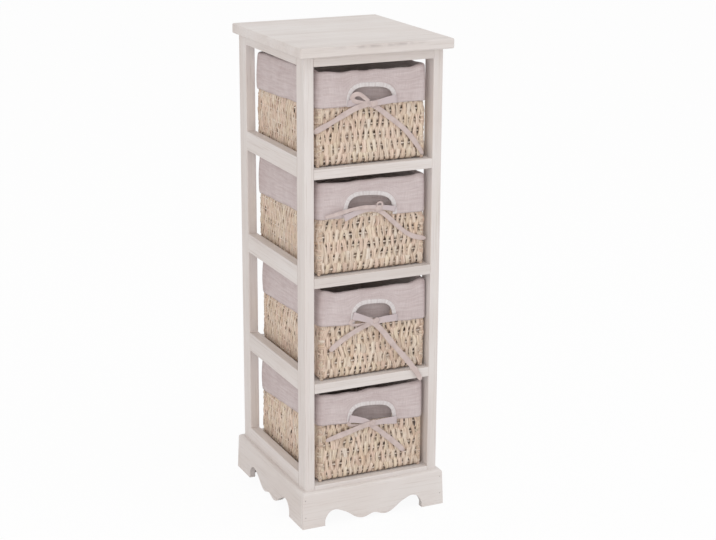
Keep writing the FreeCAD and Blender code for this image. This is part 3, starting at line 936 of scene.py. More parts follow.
def strand_group(chance, wall, middles, parity, low, high, curl_high=0):
    """Strands up one wall, between two heights.

    A strand's place is origin + along * (middle + sway) + outward * swing * (1.6 * cosine + 0.75, cut
    off at both ends), where the cosine turns half round from stake to stake and neighbours are
    opposite. Its half width shrinks where the cosine is above 0, and at its foot. An end that curls
    goes inwards with the square of its reach."""
    origin, along, outward, swing = wall
    rings = int(round((high - low) / ring_step)) + 1
    height = np.broadcast_to(np.linspace(low, high, rings), (len(middles), rings))
    phase = np.pi * ((height - lowest_stake) / stake_pitch + parity[:, None])
    outside = np.cos(phase + waves(chance, height, length=60 * mm, amount=0.35))
    stay = np.clip(crossing_rate * outside + stay_outside, -stay_outside, 1)
    tight = usual_tightness + patches(chance, middles[:, None], height, length=55 * mm, amount=0.6)
    tight = np.clip(tight + covered(tight_foot_height - height, tight_foot_length), 0, 1)

    sway = waves(chance, height, length=42 * mm, amount=1.8 * mm)
    foot = covered(low + curl_reach - height, curl_reach)
    top = covered(height - high + curl_reach, curl_reach)
    off = swing * stay + waves(chance, height, length=30 * mm, amount=0.25 * mm)
    off = off - curl_depth * (foot ** 2 + top ** 2 * curl_high)
    paths = origin + (middles[:, None] + sway)[..., None] * along + off[..., None] * outward
    paths = paths + height[..., None] * upright
    tilt = waves(chance, height, length=34 * mm, amount=math.radians(14))[..., None]
    across = np.cos(tilt) * along + np.sin(tilt) * outward
    half_width = strand_half_width - pinch * np.maximum(outside, 0)
    half_width = half_width * (1 + waves(chance, height, length=25 * mm, amount=0.14))
    half_width = half_width * (loose_width_share + tight_width_share * tight) * (1 - foot_narrowing * foot)
    half_depth = strand_half_depth * (1 + waves(chance, height, length=20 * mm, amount=0.10))
    grid, quads, caps = carried(paths, across, half_width, half_depth, strand_profile)
    return grid, quads, caps, *strand_marks(chance, wall, grid, height, half_width, tight)


print("strands swing %.1f mm to each side" % (strand_swing / mm))

# %% [markdown]
# ### Stakes, rods and wraps
# Between the strands run thin stakes, which show in the slots. The corners are rods wound round with
# husk, and so is the bar under the hand hole. A screw modifier could wind a strip, but the turns of husk
# are flat and lie close, so a rod whose radius swells once for each turn of a helix gives the same look
# with few faces. Round each corner, a flat strip every few millimetres hides where the walls meet.

# %% Stakes
stake_radius = 1.4 * mm


def stake_run(chance, wall, out, height, low, high):
    """Stake along a wall: a thin straight rod at a height, at a distance outside the wall's middle."""
    origin, along, outward, _ = wall
    line = origin + np.linspace(low, high, 10)[:, None] * along + out * outward + height * upright
    grid, quads, caps = carried(line, outward, stake_radius, stake_radius, round_profile(6))
    tone = chance.uniform(0.9, 1.3)
    return grid, quads, caps, *husk_marks(grid, *np.moveaxis(grid - origin, -1, 0), tone)


print("stakes are %.1f mm thick" % (2 * stake_radius / mm))

# %% Wound rods
wrap_pitch = 6.5 * mm
wrap_depth = 0.08
wrap_power = 0.4
wrap_lead = 1.5
rings_per_wrap = 6
# share of painted shade in the grooves between turns of husk
wrap_shade = 0.3


def wrapped_rod(chance, start, end, radius):
    """Rod wound with husk: its radius swells with a power of the sine of each turn of a helix along it."""
    length = np.linalg.norm(end - start)
    ahead = (end - start) / length
    rings = int(round(length / wrap_pitch * rings_per_wrap)) + 1
    around = 16
    far = np.linspace(0, length, rings)
    angle = np.arange(around) * 2 * np.pi / around
    side = unit(np.cross(ahead, np.array([0.3, 0.5, 0.8])))
    slope = waves(chance, far, length=40 * mm, amount=0.4)
    turn = (far / wrap_pitch)[:, None] + wrap_lead * angle / (2 * np.pi) + slope[:, None]
    swell = np.abs(np.sin(np.pi * turn)) ** wrap_power
    out = radius * (1 - wrap_depth + wrap_depth * swell)
    spokes = np.cos(angle)[:, None] * side + np.sin(angle)[:, None] * np.cross(ahead, side)
    grid = (start + far[:, None] * ahead)[:, None] + out[..., None] * spokes
    tones = chance.uniform(0.25, 1, int(length / wrap_pitch) + 6)
    tone = tones[np.floor(turn).astype(int) + 2]
    cap = np.arange(around)
    caps = np.stack([cap[::-1], cap + (rings - 1) * around])
    # painted shade, darkest in the grooves between turns of husk
    painted_shade = wrap_shade * (1 - swell)
    marks = husk_marks(grid, (turn % 1) * wrap_pitch, angle * radius, np.floor(turn), tone, painted_shade)
    return grid, grid_quads(rings, around), caps, *marks


print("rods are wound every %.1f mm" % (wrap_pitch / mm))

# %% Strips round a corner
corner_radius = 9 * mm
strip_margin = 4 * mm
strip_pitch = 8.5 * mm
strip_half_depth = 1.0 * mm
strip_inset = 1.3 * mm
strip_end_inset = 2.5 * mm
strip_first_angle = math.radians(-14)
strip_last_angle = math.radians(104)


def evenly(low, high, pitch):
    """Places between two ends, about a pitch apart."""
    count = max(int(round((high - low) / pitch)), 1)
    return low + (np.arange(count) + 0.5) * (high - low) / count


def corner_wraps(chance, turned_in, x_side, y_side, low, high):
    """Husk wound round a corner: flat strips along an arc about the corner's inner turning point."""
    height = evenly(low + strip_margin, high - strip_margin, strip_pitch)[:, None]
    count = len(height)
    height = height + chance.uniform(-2.5, 2.5, (count, 1)) * mm
    share = np.linspace(0, 1, 12)
    angle = np.linspace(strip_first_angle, strip_last_angle, len(share))
    out = corner_radius - strip_inset - strip_end_inset * np.abs(2 * share - 1) ** 6
    rise = height + chance.uniform(-3, 3, (count, 1)) * mm * (share - 0.5)
    paths = turned_in + triples(x_side * out * np.sin(angle), y_side * out * np.cos(angle), rise)
    half_width = chance.uniform(1.5, 2.6, (count, 1)) * mm * np.ones(len(share))
    grid, quads, caps = carried(paths, upright, half_width, strip_half_depth, strand_profile)
    tone = chance.uniform(0, 1, (count, 1, 1))
    leaf = chance.uniform(0, leaf_spread, (count, 1, 1))
    side = half_width[..., None] * strand_profile[:, 0]
    return grid, quads, caps, *husk_marks(grid, side, (corner_radius * angle)[:, None], leaf, tone)


print("corner strips about %.1f mm apart" % (strip_pitch / mm))

# %% [markdown]
# ### Walls, corners and floor
# The front shows the weave best, so there the strands swing fully, and they stop round the hand hole. The
# side and rear walls are seen at a slant or not at all, so their strands swing less and lie flatter. The
# floor is a coarser weave of its own. Each wall could be an object, but the strands of a basket move
# together, so all its parts become one mesh.

# %% Walls
strand_pitch = 4.6 * mm
strand_low = 2.3 * mm
stake_outward = 0.7 * mm
calm_stake_outward = 0.0 * mm
weave_top = 147 * mm
rod_high = weave_top - 4 * mm
hole_margin = 2 * mm
hole_high = 129 * mm
straight_x = weave_half_width - corner_radius


def hole_sides(basket):
    """Places across of the hand hole's two sides, from the basket's middle."""
    reach = basket.arch_half_width + hole_margin
    return basket.arch_middle - reach, basket.arch_middle + reach


def wall_parts(chance, basket, wall, half, in_front):
    """Strands and stakes of one wall; in front the strands end lower, and both stop at the hand hole."""
    hole_left, hole_right = hole_sides(basket)
    high = rod_high - basket.rim_drop * in_front
    middles = evenly(-half, half, strand_pitch)
    parity = np.arange(len(middles)) % 2
    holed = in_front & (middles > hole_left) & (middles < hole_right)
    runs = [(~holed, strand_low, high, 0)]
    if in_front:
        runs += [(holed, strand_low, basket.woven_edge, 1), (holed, hole_high, high, 0)]
    parts = [strand_group(chance, wall, middles[chosen], parity[chosen], *run) for chosen, *run in runs]
    out = stake_outward if in_front else calm_stake_outward
    for height in np.arange(lowest_stake, weave_top - corner_radius, stake_pitch):
        spans = [(-half, half)]
        if in_front and basket.woven_edge < height < hole_high:
            spans = [(-half, hole_left), (hole_right, half)]
        parts += [stake_run(chance, wall, out, height, *span) for span in spans]
    return parts


print("front walls of", len(evenly(-straight_x, straight_x, strand_pitch)), "strands")

# %% Corners
wall_inset = wall_thickness / 2
straight_y = (weave_rear - weave_front) / 2 - corner_radius
weave_middle = (weave_front + weave_rear) / 2
calm_swing = 0.35 * strand_swing
corner_strand_angles = np.radians([22, 68])
corner_strand_outward = 0.8 * mm
corner_rod_inset = 5.4 * mm
corner_rod_radius = 3.0 * mm
corner_rod_low = 0.6 * mm


def corner_parts(chance, basket, x_side, y_side):
    """Two strands round a corner, the wound rod inside it, and the strips round it."""
    corner_x = basket.middle + x_side * straight_x
    turned_in = np.array([corner_x, weave_middle + y_side * straight_y, basket.base])
    parts = []
    for parity, angle in enumerate(corner_strand_angles):
        outward = np.array([x_side * math.sin(angle), y_side * math.cos(angle), 0])
        origin = turned_in + (corner_radius - wall_inset + corner_strand_outward) * outward
        wall = (origin, np.cross(upright, outward), outward, calm_swing)
        parts.append(strand_group(chance, wall, np.zeros(1), np.array([parity]), strand_low, rod_high))
    foot = turned_in + (corner_radius - corner_rod_inset) * np.array([x_side, y_side, 0])
    rod_ends = [foot + height * upright for height in (corner_rod_low, rod_high)]
    parts.append(wrapped_rod(chance, *rod_ends, corner_rod_radius))
    parts.append(corner_wraps(chance, turned_in, x_side, y_side, strand_low, rod_high))
    return parts


print("each corner has", len(corner_strand_angles), "strands and a rod")

# %% Floors of the baskets
floor_thickness = 6 * mm
floor_pitch = 1.6 * strand_pitch
floor_ring_step = 1.5 * ring_step
floor_swing = 1.3 * mm
floor_half_width = 3.6 * mm
floor_half_depth = 1.4 * mm
# painted shade laid evenly over the basket floor, which lies in shade inside the basket
floor_shade = 0.25


def floor_strands(chance, basket):
    """Strands along the floor, which swing up and down as a cosine of their reach, as in the walls."""
    half_x = straight_x + wall_inset
    half_y = straight_y + wall_inset
    middles = evenly(-half_x, half_x, floor_pitch)[:, None]
    count = len(middles)
    rings = int(round(2 * half_y / floor_ring_step))
    reach = np.broadcast_to(np.linspace(-half_y, half_y, rings), (count, rings))
    parity = np.arange(count)[:, None] % 2
    rise = floor_thickness / 2 + seat_gap + floor_swing * np.cos(np.pi * (reach / stake_pitch + parity))
    sway = basket.middle + middles + waves(chance, reach, length=40 * mm, amount=0.6 * mm)
    paths = triples(sway, weave_middle + reach, basket.base + rise)
    half_width = floor_half_width * (1 + waves(chance, reach, length=30 * mm, amount=0.1))
    profile = round_profile(6)
    grid, quads, caps = carried(paths, x_axis, half_width, floor_half_depth, profile)
    leaf = chance.uniform(0, leaf_spread, (count, 1, 1))
    tone = chance.uniform(0, 1, (count, 1, 1))
    side = half_width[..., None] * profile[:, 0]
    # the floor strands carry a fixed amount of painted shade
    return grid, quads, caps, *husk_marks(grid, side, reach[..., None], leaf, tone, floor_shade)


print("basket floors are %.0f mm thick" % (floor_thickness / mm))

# %% [markdown]
# ### Woven baskets
# No basket stands square in its bay, so its points are moved left in step with how far back they lie,
# and its walls bulge below the cuff. A lattice could bend it, but two sums on the points do the same and
# leave no modifier behind.

# %% Askew and bulging walls
basket_askew = 0.017
left_bulge = 2.0 * mm
bulge_high = 90 * mm
bulge_length = 12 * mm


def askew(points):
    """Points of a basket that stands askew: moved left in step with their distance behind its front."""
    return points - basket_askew * (points[:, 1:2] - weave_front) * x_axis


def bulged(points, basket):
    """Points of walls that bulge below the cuff: spread in step with their distance from the middle."""
    below = covered(bulge_high - (points[:, 2] - basket.base), bulge_length)
    off = (points[:, 0] - basket.middle) / weave_half_width
    spread = np.where(off < 0, left_bulge, basket.right_bulge) * off * smooth(below)
    return points + spread[:, None] * x_axis


print("a basket's rear stands %.1f mm to the left" % (basket_askew * (weave_rear - weave_front) / mm))

# %% Woven baskets
hole_bar_radius = 2.8 * mm
hole_bar_inset = 0.6 * mm
hole_bar_drop = 1.5 * mm
calm_shift = 0.9 * (strand_swing - calm_swing)


def basket_parts(chance, basket):
    """All strands, stakes, corners, the bar under the hand hole and the floor of one basket."""
    half_y = (weave_rear - weave_front) / 2 - wall_inset
    side_reach = weave_half_width - wall_inset
    centre = np.array([basket.middle, weave_middle, basket.base])
    parts = []
    for outward, along, half, reach in [
        (-y_axis, x_axis, straight_x, half_y),
        (x_axis, y_axis, straight_y, side_reach),
        (y_axis, -x_axis, straight_x, half_y),
        (-x_axis, -y_axis, straight_y, side_reach),
    ]:
        in_front = outward[1] < 0
        swing, shift = (strand_swing, 0) if in_front else (calm_swing, calm_shift)
        wall = (centre + (reach + shift) * outward, along, outward, swing)
        parts += wall_parts(chance, basket, wall, half, in_front)
    for x_side, y_side in ((-1, -1), (1, -1), (1, 1), (-1, 1)):
        parts += corner_parts(chance, basket, x_side, y_side)
    bar_y = weave_front + wall_inset + hole_bar_inset
    bar_z = basket.base + basket.woven_edge - hole_bar_drop
    bar_ends = [np.array([basket.middle + across, bar_y, bar_z]) for across in hole_sides(basket)]
    parts.append(wrapped_rod(chance, *bar_ends, hole_bar_radius))
    parts.append(floor_strands(chance, basket))
    return parts


for basket in baskets:
    chance = np.random.default_rng(basket.number)
    points, faces, marks = joined(basket_parts(chance, basket))
    surface = (askew(bulged(points, basket)), faces, marks)
    # the mark named husk carries each point's tone and its painted shade
    woven = make_piece("woven_basket", basket.number, surface, husk, "husk", "fibre", "husk")
    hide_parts("basket_weave_%d" % basket.number)
    print(woven.name, len(points), "points", len(faces), "faces")

# %% [markdown]
# ## Cloth liners
# A liner is a cotton bag sewn to the basket's inside, with its upper edge turned out over the rim as a
# cuff. Its cotton is plainly woven and pale mauve, with thicker threads here and there. Inside the
# sides and rear it is painted paler, as painted light, and its crumples get a faint painted shade where
# they dip. Two crossed waves could be the whole weave, but real yarn is uneven, so noise drawn out
# along both threads is laid over them.

# %% Liner cloth
thread_height_share = 0.10


def liner_cloth(name, dark, light, thread, inside_painted_light_share):
    """Plain-woven cotton: crossed waves for threads, slubs along both, soft crumples with painted shade
    in their dips, and painted light that makes the inside of the sides and rear paler.
    """
    material, tree, shader = new_finish(name)
    cloth = marked(tree, "cloth")
    thread_wave = {"Vector": cloth, "Scale": thread, "Distortion": 0.8}
    warp = put(tree, "TexWave", thread_wave).outputs["Fac"]
    weft = put(tree, "TexWave", thread_wave, bands_direction="Y").outputs["Fac"]
    threads = times(tree, warp, weft)
    slubs = streaks_of(tree, cloth, scale=(900.0, 60.0, 1.0), detail=2.0)
    cross_slubs = streaks_of(tree, cloth, scale=(60.0, 900.0, 1.0), detail=2.0)
    mean_slubs = times(tree, math_of(tree, "ADD", slubs, cross_slubs), 0.5)
    crumple = noise_of(tree, place_of(tree), scale=38.0, detail=3.0, roughness=0.5)
    bands = streaks_of(tree, cloth, scale=(20.0, 290.0, 1.0), detail=2.0)
    colour = ramp(tree, mean_slubs, [(0.36, dark), (0.62, light)])
    colour = shaded(tree, colour, threads, share=0.5, low=0.0, shade=paint(228, 222, 221), high=0.5)
    # painted shade: faintly darker where the crumple bump dips
    colour = shaded(tree, colour, crumple, share=0.6, low=0.3, shade=paint(240, 236, 236), high=0.6)
    round_and_down = axes_of(tree, cloth)
    # painted light: inside the sides and rear the cloth is mixed towards a paler colour
    inside = ramp(tree, round_and_down["Y"], [(0.064, black), (0.072, white)])
    behind = ramp(tree, round_and_down["X"], [(0.17, black), (0.19, white)])
    colour = mixed(tree, times(tree, inside, behind, inside_painted_light_share), colour, paint(248, 240, 236))
    colour = shaded(tree, colour, bands, share=0.6, low=0.35, shade=paint(236, 229, 228), high=0.6)
    fill(tree, shader, {"Base Color": colour, "Roughness": 0.9, "Sheen Weight": 0.12})
    height = math_of(tree, "ADD", times(tree, threads, thread_height_share), crumple)
    raised(tree, shader, height, distance=1.4 * mm, strength=0.5)
    return material


# the last number is the share of painted light that pales the liner's inside
liner_finish = liner_cloth("liner cotton", paint(204, 192, 192), paint(219, 208, 208), 330.0, 0.6)
binding_finish = liner_cloth("binding tape", paint(221, 218, 219), paint(234, 231, 231), 420.0, 0.0)
print("cloth finishes:", liner_finish.name, "and", binding_finish.name)

# %% [markdown]
# ### Columns of the liner
# The liner is one sheet, so it is one surface: columns go round the rim and rows go from the cuff's
# lower edge up, over the rim, down the inside and across the floor. In front the lower edge climbs
# round the arch of the hand hole. The hole could be cut out of a plain cuff, but then its edge would be
# jagged, so the columns bend round it instead.

# %% Hem and arch
cuff_bottom = 93 * mm
rear_hem_drop = 7 * mm
arch_power = 2 / 3.2
arch_points = 241


def hem_height(basket, across, back):
    """Height of the cuff's lower edge: the basket's own hem where back is 0, and level where it is 1."""
    return cuff_bottom + (basket.hem + basket.hem_lean * across) * (1 - back) - rear_hem_drop * back


def arch_outline(basket, margin, count):
    """Across and up at a number of places along the arch's outline, wider by a margin all round.

    Half of a superellipse that stands on the hem: across is the half width times the cosine to a power,
    with its sign kept, and up is the rise times the sine to that power; the rise leans with across."""
    angle = np.linspace(np.pi, 0, arch_points)
    reach = (basket.arch_half_width + margin) * squared(np.cos(angle), arch_power)
    rise = (basket.arch_rise + margin + basket.arch_lean * reach) * np.abs(np.sin(angle)) ** arch_power
    across = basket.arch_middle + reach
    outline = np.stack([across, hem_height(basket, across, 0) + rise], -1)
    far = travelled(outline)
    places = np.linspace(0, 1, count) * far[-1]
    return np.stack([np.interp(places, far, outline[:, axis]) for axis in (0, 1)], -1)


print("cuffs are %.0f mm high" % ((basket_height - cuff_bottom) / mm))

# %% Columns of the liner
corner_round = 11 * mm
edge_under_tape = 3.5 * mm
columns_beside = 21
columns_over_arch = 71
columns_in_corner = 7
columns_at_side = 43
columns_at_rear = 35
spread_beside_arch = 13 * mm


def liner_columns(basket):
    """Columns round the rim: core place, outward direction, and the lower edge's place across and up.

    The core is the rim's outline drawn in by the corner's radius, so outward turns only at its corners."""
    half_x = basket_width / 2 - corner_round
    y_near, y_far = basket_front + corner_round, basket_rear - corner_round
    outline = arch_outline(basket, edge_under_tape, columns_over_arch)
    arch_reach = basket.arch_half_width + spread_beside_arch
    top = np.linspace(basket.arch_middle - arch_reach, basket.arch_middle + arch_reach, columns_over_arch)

    def front_places(over_arch):
        """Places along the front: even steps up to the arch, the places over it, and even steps on."""
        left = np.linspace(-half_x, over_arch[0], columns_beside + 1)[:-1]
        return np.concatenate([left, over_arch, np.linspace(over_arch[-1], half_x, columns_beside + 1)[1:]])

    across = front_places(top)
    cores = [np.stack([across, np.full(len(across), y_near)], -1)]
    outwards = [np.tile([0.0, -1.0], (len(across), 1))]
    bend = np.linspace(-np.pi / 2, 0, columns_in_corner + 1)[1:]
    side_run = np.linspace(0, 1, columns_at_side + 1)[1:, None]
    rear_run = np.linspace(0, 1, columns_at_rear + 1)[1:, None]
    corners = np.array([(half_x, y_near), (half_x, y_far), (-half_x, y_far), (-half_x, y_near)])
    for quarter, corner in enumerate(corners):
        angle = bend + quarter * np.pi / 2
        cores.append(np.tile(corner, (len(bend), 1)))
        outwards.append(np.stack([np.cos(angle), np.sin(angle)], -1))
        if quarter < 3:
            run = rear_run if quarter == 1 else side_run
            cores.append(corner + run * (corners[quarter + 1] - corner))
            outwards.append(np.tile(outwards[-1][-1], (len(run), 1)))
    core, outward = np.concatenate(cores)[:-1], np.concatenate(outwards)[:-1]
    low_across = np.concatenate([front_places(outline[:, 0]), core[len(across):, 0]])
    low_up = hem_height(basket, low_across, (core[:, 1] - y_near) / (y_far - y_near))
    low_up[columns_beside:columns_beside + columns_over_arch] = outline[:, 1]
    front = (outward[:, 1] == -1) & (np.abs(low_across) < half_x + 1e-6)
    edge = core + corner_round * outward
    far = travelled(np.concatenate([edge, edge[:1]]))
    return SimpleNamespace(core=core, outward=outward, low_across=low_across, low_up=low_up, front=front,
                           far=far[:-1], turn=far[:-1] / far[-1])


print("liners have", len(liner_columns(baskets[0]).far), "columns")

# %% [markdown]
# ### Rows of the liner
# The cuff, the fold over the rim, the bag and its floor are four bands of rows on the same columns. The
# cloth could be simulated until it hangs, but the photograph shows just where these cuffs sag, so sines
# make the cloth slack instead. They have whole numbers of waves round the rim, so the ring closes
# without a seam.

# %% Rim of the liner
drop_margin = 8 * mm
drop_length = 22 * mm


def ring_waves(chance, turn, least, most, amount=1.0, up_share=0.0, count=7):
    """Sum of sines with whole numbers of waves round the rim, each leaning with height by chance."""
    total = 0
    for wave in chance.integers(least, most, count):
        lean = chance.uniform(-1.2, 1.2) * up_share
        total = total + np.sin(2 * np.pi * (wave * turn + lean + chance.uniform()))
    return amount * total / count ** 0.5 / 1.5


def rim_sag(chance, ring, basket):
    """How far the rim lies off its height: waves, less a drop in the middle of the front and at the rear."""
    from_side = basket_width / 2 - drop_margin - np.abs(ring.core[:, 0])
    in_middle = covered(from_side, drop_length) * ring.front
    back = covered(ring.core[:, 1] - basket_front, basket_rear - basket_front)
    sag = ring_waves(chance, ring.turn, least=5, most=26, amount=1.1 * mm)
    return sag - basket.rim_drop * smooth(in_middle) - basket.rear_drop * back ** 3


print("rims hang down by up to %.1f mm in front" % (max(basket.rim_drop for basket in baskets) / mm))

# %% Rows of the cuff
fold_height = 5 * mm
fold_low = basket_height - fold_height
plain_margin = 8 * mm
plain_length = 14 * mm
puff_depth = 0.8 * mm
hem_lip = 0.3 * mm
hem_lip_share = 0.12
side_puff = 1.2 * mm
side_puff_lean = 0.8 * mm
side_puff_power = 0.7
spread_power = 0.85
slack_start = 0.25
slack_length = 0.5
rows_in_cuff = 20


def rows_at(ring, reach, up, across=None):
    """Rows of points: core + reach * outward, at a height; across, where given, is the core's X."""
    across = ring.core[:, 0] if across is None else across
    return triples(across + reach * ring.outward[:, 0], ring.core[:, 1] + reach * ring.outward[:, 1], up)


def cuff_rows(chance, ring, basket, sag):
    """Cuff: a straight blend from lower edge to fold, puffed out by waves and, at the sides, a half sine."""
    hem = ring_waves(chance, ring.turn, least=5, most=22, amount=0.8 * mm)
    share = np.linspace(0, 1, rows_in_cuff)[:, None]
    core_x, side = ring.core[:, 0], ring.outward[:, 0]
    beside = np.abs(ring.low_across - basket.arch_middle) - basket.arch_half_width - plain_margin
    plain = np.where(ring.front, covered(beside, plain_length), 1.0)
    bent = ring.low_across + (core_x - ring.low_across) * share ** spread_power
    across = np.where(ring.front, bent, core_x)
    up = ring.low_up + hem * plain * (1 - share) + (fold_low + sag - ring.low_up) * share
    slack = np.maximum(plain, covered(share - slack_start, slack_length)) * (1 - share ** 4)
    puff = 0.5 + ring_waves(chance, ring.turn, least=9, most=34, amount=0.5, up_share=share)
    reach = corner_round + puff_depth * puff * slack + hem_lip * (share < hem_lip_share)
    bow = np.sin(np.pi * share ** side_puff_power)
    reach = reach + (side_puff - side_puff_lean * side) * np.abs(side) * bow
    return rows_at(ring, reach, up, across)


print("folds start %.0f mm above a basket's base" % (fold_low / mm))

# %% Rows of the fold and the bag
fold_power = 0.8
inner_reach = 2.0 * mm
liner_floor = 7.6 * mm
hole_middle = 108 * mm
hollow_half_width = 46 * mm
hollow_half_height = 26 * mm
slack_depth = 1.2 * mm
rows_in_fold = 11
rows_in_bag = 23


def fold_rows(chance, ring, sag):
    """Fold over the rim: half an ellipse from the outer to the inner reach."""
    angle = np.linspace(0, np.pi, rows_in_fold + 1)[1:, None]
    slack = ring_waves(chance, ring.turn, least=6, most=24, amount=0.4 * mm) * np.sin(angle)
    reach = inner_reach + (corner_round - inner_reach) / 2 * (1 + np.cos(angle)) + slack
    return rows_at(ring, reach, fold_low + sag + fold_height * np.sin(angle) ** fold_power)


def bag_rows(chance, ring, basket, sag):
    """Bag: straight down, slack between fold and floor, and hollow behind the hand hole as a bell curve."""
    share = np.linspace(0, 1, rows_in_bag + 1)[1:, None]
    up = fold_low + sag * (1 - share) - (fold_low - liner_floor) * share
    slack = 0.5 + ring_waves(chance, ring.turn, least=7, most=26, amount=0.5, up_share=share)
    slack = slack_depth * slack * np.sin(np.pi * share) ** 0.5
    beside = (ring.core[:, 0] - basket.arch_middle) / hollow_half_width
    above = (up - hole_middle) / hollow_half_height
    hollow = basket.hollow * ring.front * np.exp(-beside ** 4 - above ** 2)
    return rows_at(ring, inner_reach - slack - hollow, up)


print("bags are %.0f mm deep" % ((fold_low - liner_floor) / mm))

# %% Liner surface
floor_sink = 0.4 * mm
rows_in_floor = 7


def liner_surface(chance, ring, basket, sag):
    """Rows from the cuff's lower edge over the rim to the floor, whose rings shrink towards its middle."""
    cuff = cuff_rows(chance, ring, basket, sag)
    fold = fold_rows(chance, ring, sag)
    bag = bag_rows(chance, ring, basket, sag)
    share = np.linspace(1, 0, rows_in_floor + 2)[1:-1, None]
    centre = ring.core.mean(axis=0)
    edge = ring.core + inner_reach * ring.outward - centre
    floor_up = liner_floor - floor_sink
    floor_rows = triples(centre[0] + edge[:, 0] * share, centre[1] + edge[:, 1] * share, floor_up)
    grid = np.concatenate([cuff, fold, bag, floor_rows])
    rows, columns = grid.shape[:2]
    points = np.concatenate([grid.reshape(-1, 3), [[*centre, floor_up]]]) + [basket.middle, 0, basket.base]
    pole = rows * columns
    faces = grid_quads(rows, columns).tolist() + fan(np.arange(columns) + pole - columns, pole)
    down = np.concatenate([[0], np.cumsum(np.linalg.norm(np.diff(grid, axis=0), axis=-1).mean(axis=1))])
    cloth = triples(ring.far, down[:, None], 0.0).reshape(-1, 3)
    return points, faces, [np.concatenate([cloth, [[0, down[-1], 0]]])]


print("liners have", rows_in_cuff + rows_in_fold + rows_in_bag + rows_in_floor, "rows")

# %% [markdown]
# ### Rim wires and binding tapes
# A wire inside the rim keeps each basket open, with four legs down the corners. It follows the liner's
# sagging rim, so it is made here. White tape is folded round the arch of the hand hole. It could be a
# curve with a bevel, but a flat profile carried along the arch's own outline fits the cloth's edge
# exactly.

# %% Rim wires
wire_thickness = 3 * mm
wire_reach = 6 * mm
wire_sink = 0.5 * mm
leg_thickness = 2.4 * mm
leg_foot = 18 * mm


def wire_surface(ring, basket, sag):
    """Round wire along the rim, closed on itself, with four legs down inside the corner rods."""
    rim = ring.core + wire_reach * ring.outward
    loop = triples(basket.middle + rim[:, 0], rim[:, 1], basket.base + weave_top - wire_sink + sag)
    loop = np.concatenate([loop, loop[:1]])
    side = weave_half_width - corner_rod_inset
    feet_x = basket.middle + side * np.array([-1, -1, 1, 1])[:, None]
    feet_y = np.array([weave_front + corner_rod_inset, weave_rear - corner_rod_inset] * 2)[:, None]
    legs = triples(feet_x, feet_y, basket.base + np.linspace(leg_foot, weave_top - wire_thickness, 3))
    profile = round_profile(10)
    return joined([
        carried(loop, upright, wire_thickness / 2, wire_thickness / 2, profile),
        carried(legs, x_axis, leg_thickness / 2, leg_thickness / 2, profile),
    ])


print("wire is %.0f mm thick" % (wire_thickness / mm))

# %% Binding tapes
binding_width = 7 * mm
binding_half_depth = 1.15 * mm
binding_sink = 0.2 * mm
binding_rings = 110


def binding_surface(basket):
    """Tape round the arch's edge: a flat profile carried along the outline at half the tape's width."""
    outline = arch_outline(basket, binding_width / 2, binding_rings)
    line = triples(basket.middle + outline[:, 0], basket_front + binding_sink, basket.base + outline[:, 1])
    across = np.cross(unit(np.gradient(line, axis=0)), y_axis)
    profile = flat_profile(18, power=0.55)
    grid, quads, caps = carried(line, across, binding_width / 2, binding_half_depth, profile)
    cloth = triples(profile[:, 0] * binding_width / 2, travelled(line)[:, None], 0.0)
    return joined([(grid, quads, caps, cloth)])


print("tape is %.0f mm wide" % (binding_width / mm))

# %% [markdown]
# ### Making the liners
# The sheet has no thickness yet, and Solidify adds it inwards.

# %% Making the liners
cloth_thickness = 1.0 * mm
liner_seed = 70
for basket in baskets:
    number = basket.number
    chance = np.random.default_rng(liner_seed + number)
    ring = liner_columns(basket)
    sag = rim_sag(chance, ring, basket)
    points, faces, marks = liner_surface(chance, ring, basket, sag)
    surface = (askew(points), faces, marks)
    liner = make_piece("cloth_liner", number, surface, liner_finish, "liner_cloth", "cloth")
    thickness = liner.modifiers.new("cloth thickness", "SOLIDIFY")
    thickness.thickness = cloth_thickness
    thickness.offset = -1
    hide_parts("liner_%d" % number)
    points, faces, marks = wire_surface(ring, basket, sag)
    surface = (askew(bulged(points, basket)), faces, marks)
    wire = make_piece("rim_wire", number, surface, steel_finish, "steel")
    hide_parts("basket_wire_%d" % number)
    surface = binding_surface(basket)
    binding = make_piece("arch_binding", number, surface, binding_finish, "binding_cloth", "cloth")
    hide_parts("cuff_binding_%d" % number)
    print(liner.name, "has", len(liner.data.vertices), "points")

# %% [markdown]
# ## Light, floor and background
# The photograph was taken in soft studio light that comes from all round, on a white ground. The world
# gives the even light. A large cool lamp above the front right adds light from the top, and two warmer
# ones on the left lift the shadows there. Light Path lets the camera see plain white where there is
# nothing, while the light that falls on things keeps its own strength.

# %% Light
scene = bpy.context.scene
scene.view_settings.view_transform = "Standard"


def seen_directly(tree):
    """1 for rays straight from the camera, a mirror or glass, and 0 for light that falls on things."""
    path = put(tree, "LightPath")
    seen = math_of(tree, "MAXIMUM", path.outputs["Is Camera Ray"], path.outputs["Is Glossy Ray"])
    return math_of(tree, "MAXIMUM", seen, path.outputs["Is Transmission Ray"])


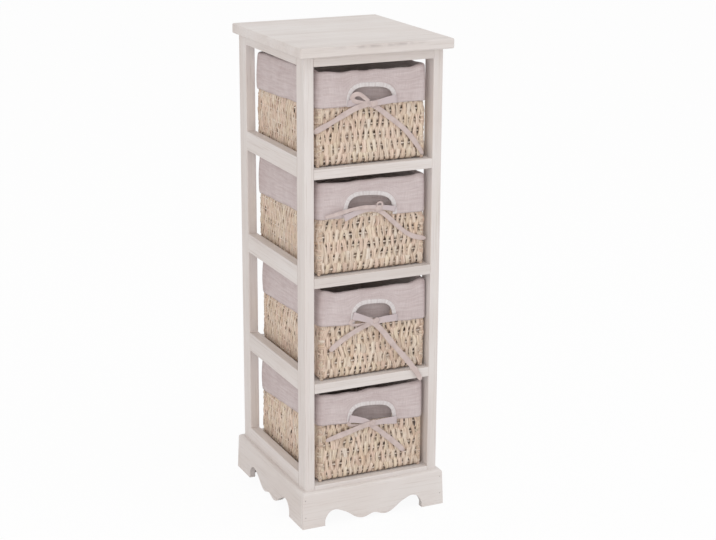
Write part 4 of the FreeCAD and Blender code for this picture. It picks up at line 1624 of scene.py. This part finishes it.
def soft_lamp(name, place, aim, size, power, colour):
    """Square area lamp that looks at a point."""
    lamp = bpy.data.lights.new(name, "AREA")
    lamp.shape = "SQUARE"
    lamp.size = size
    lamp.energy = power
    lamp.color = colour
    holder = bpy.data.objects.new(name, lamp)
    scene.collection.objects.link(holder)
    holder.location = place
    holder.rotation_euler = (Vector(aim) - Vector(place)).to_track_quat("-Z", "Y").to_euler()


world = bpy.data.worlds.new("studio")
scene.world = world
world.use_nodes = True
world_tree = world.node_tree
world_tree.nodes.clear()
warm_white = (1.0, 0.988, 0.975, 1)
studio_light = put(world_tree, "Background", {"Color": warm_white, "Strength": 0.765}).outputs[0]
white_ground = put(world_tree, "Background", {"Color": white, "Strength": 1.0}).outputs[0]
world_mix = put(world_tree, "MixShader", {0: seen_directly(world_tree), 1: studio_light, 2: white_ground})
put(world_tree, "OutputWorld", {"Surface": world_mix.outputs[0]})
soft_lamp("front lamp", (0.9, -1.3, 3.1), aim=(0, 0, 0.45), size=1.8, power=17.5, colour=(0.92, 0.98, 1.0))
soft_lamp("fill lamp", (-1.25, -2.6, 1.25), aim=(0, 0, 0.45), size=0.7, power=4.5, colour=(1.0, 0.97, 0.95))
soft_lamp("side lamp", (-2.2, -1.9, 1.1), aim=(0, 0, 0.4), size=1.8, power=12.5, colour=(1.0, 0.95, 0.92))
print(len(bpy.data.lights), "lamps")

# %% Floor
floor_reach = 9.0
floor_glow_share = 0.94
floor_finish, floor_tree, floor_shader = new_finish("pale floor")
fill(floor_tree, floor_shader, {"Base Color": paint(244, 244, 244), "Roughness": 0.9})
glow = put(floor_tree, "Emission", {"Color": white, "Strength": 1.0}).outputs[0]
floor_share = times(floor_tree, seen_directly(floor_tree), floor_glow_share)
floor_mix = put(floor_tree, "MixShader", {0: floor_share, 1: floor_shader.outputs[0], 2: glow})
fill(floor_tree, floor_tree.nodes["Material Output"], {"Surface": floor_mix.outputs[0]})
floor_mesh = bpy.data.meshes.new("floor")
floor_corners = [(x * floor_reach, y * floor_reach, 0) for x, y in ((-1, -1), (1, -1), (1, 1), (-1, 1))]
floor_mesh.from_pydata(floor_corners, [], [(0, 1, 2, 3)])
floor_mesh.materials.append(floor_finish)
floor = bpy.data.objects.new("floor", floor_mesh)
scene.collection.objects.link(floor)
print("floor of", 2 * floor_reach, "m")
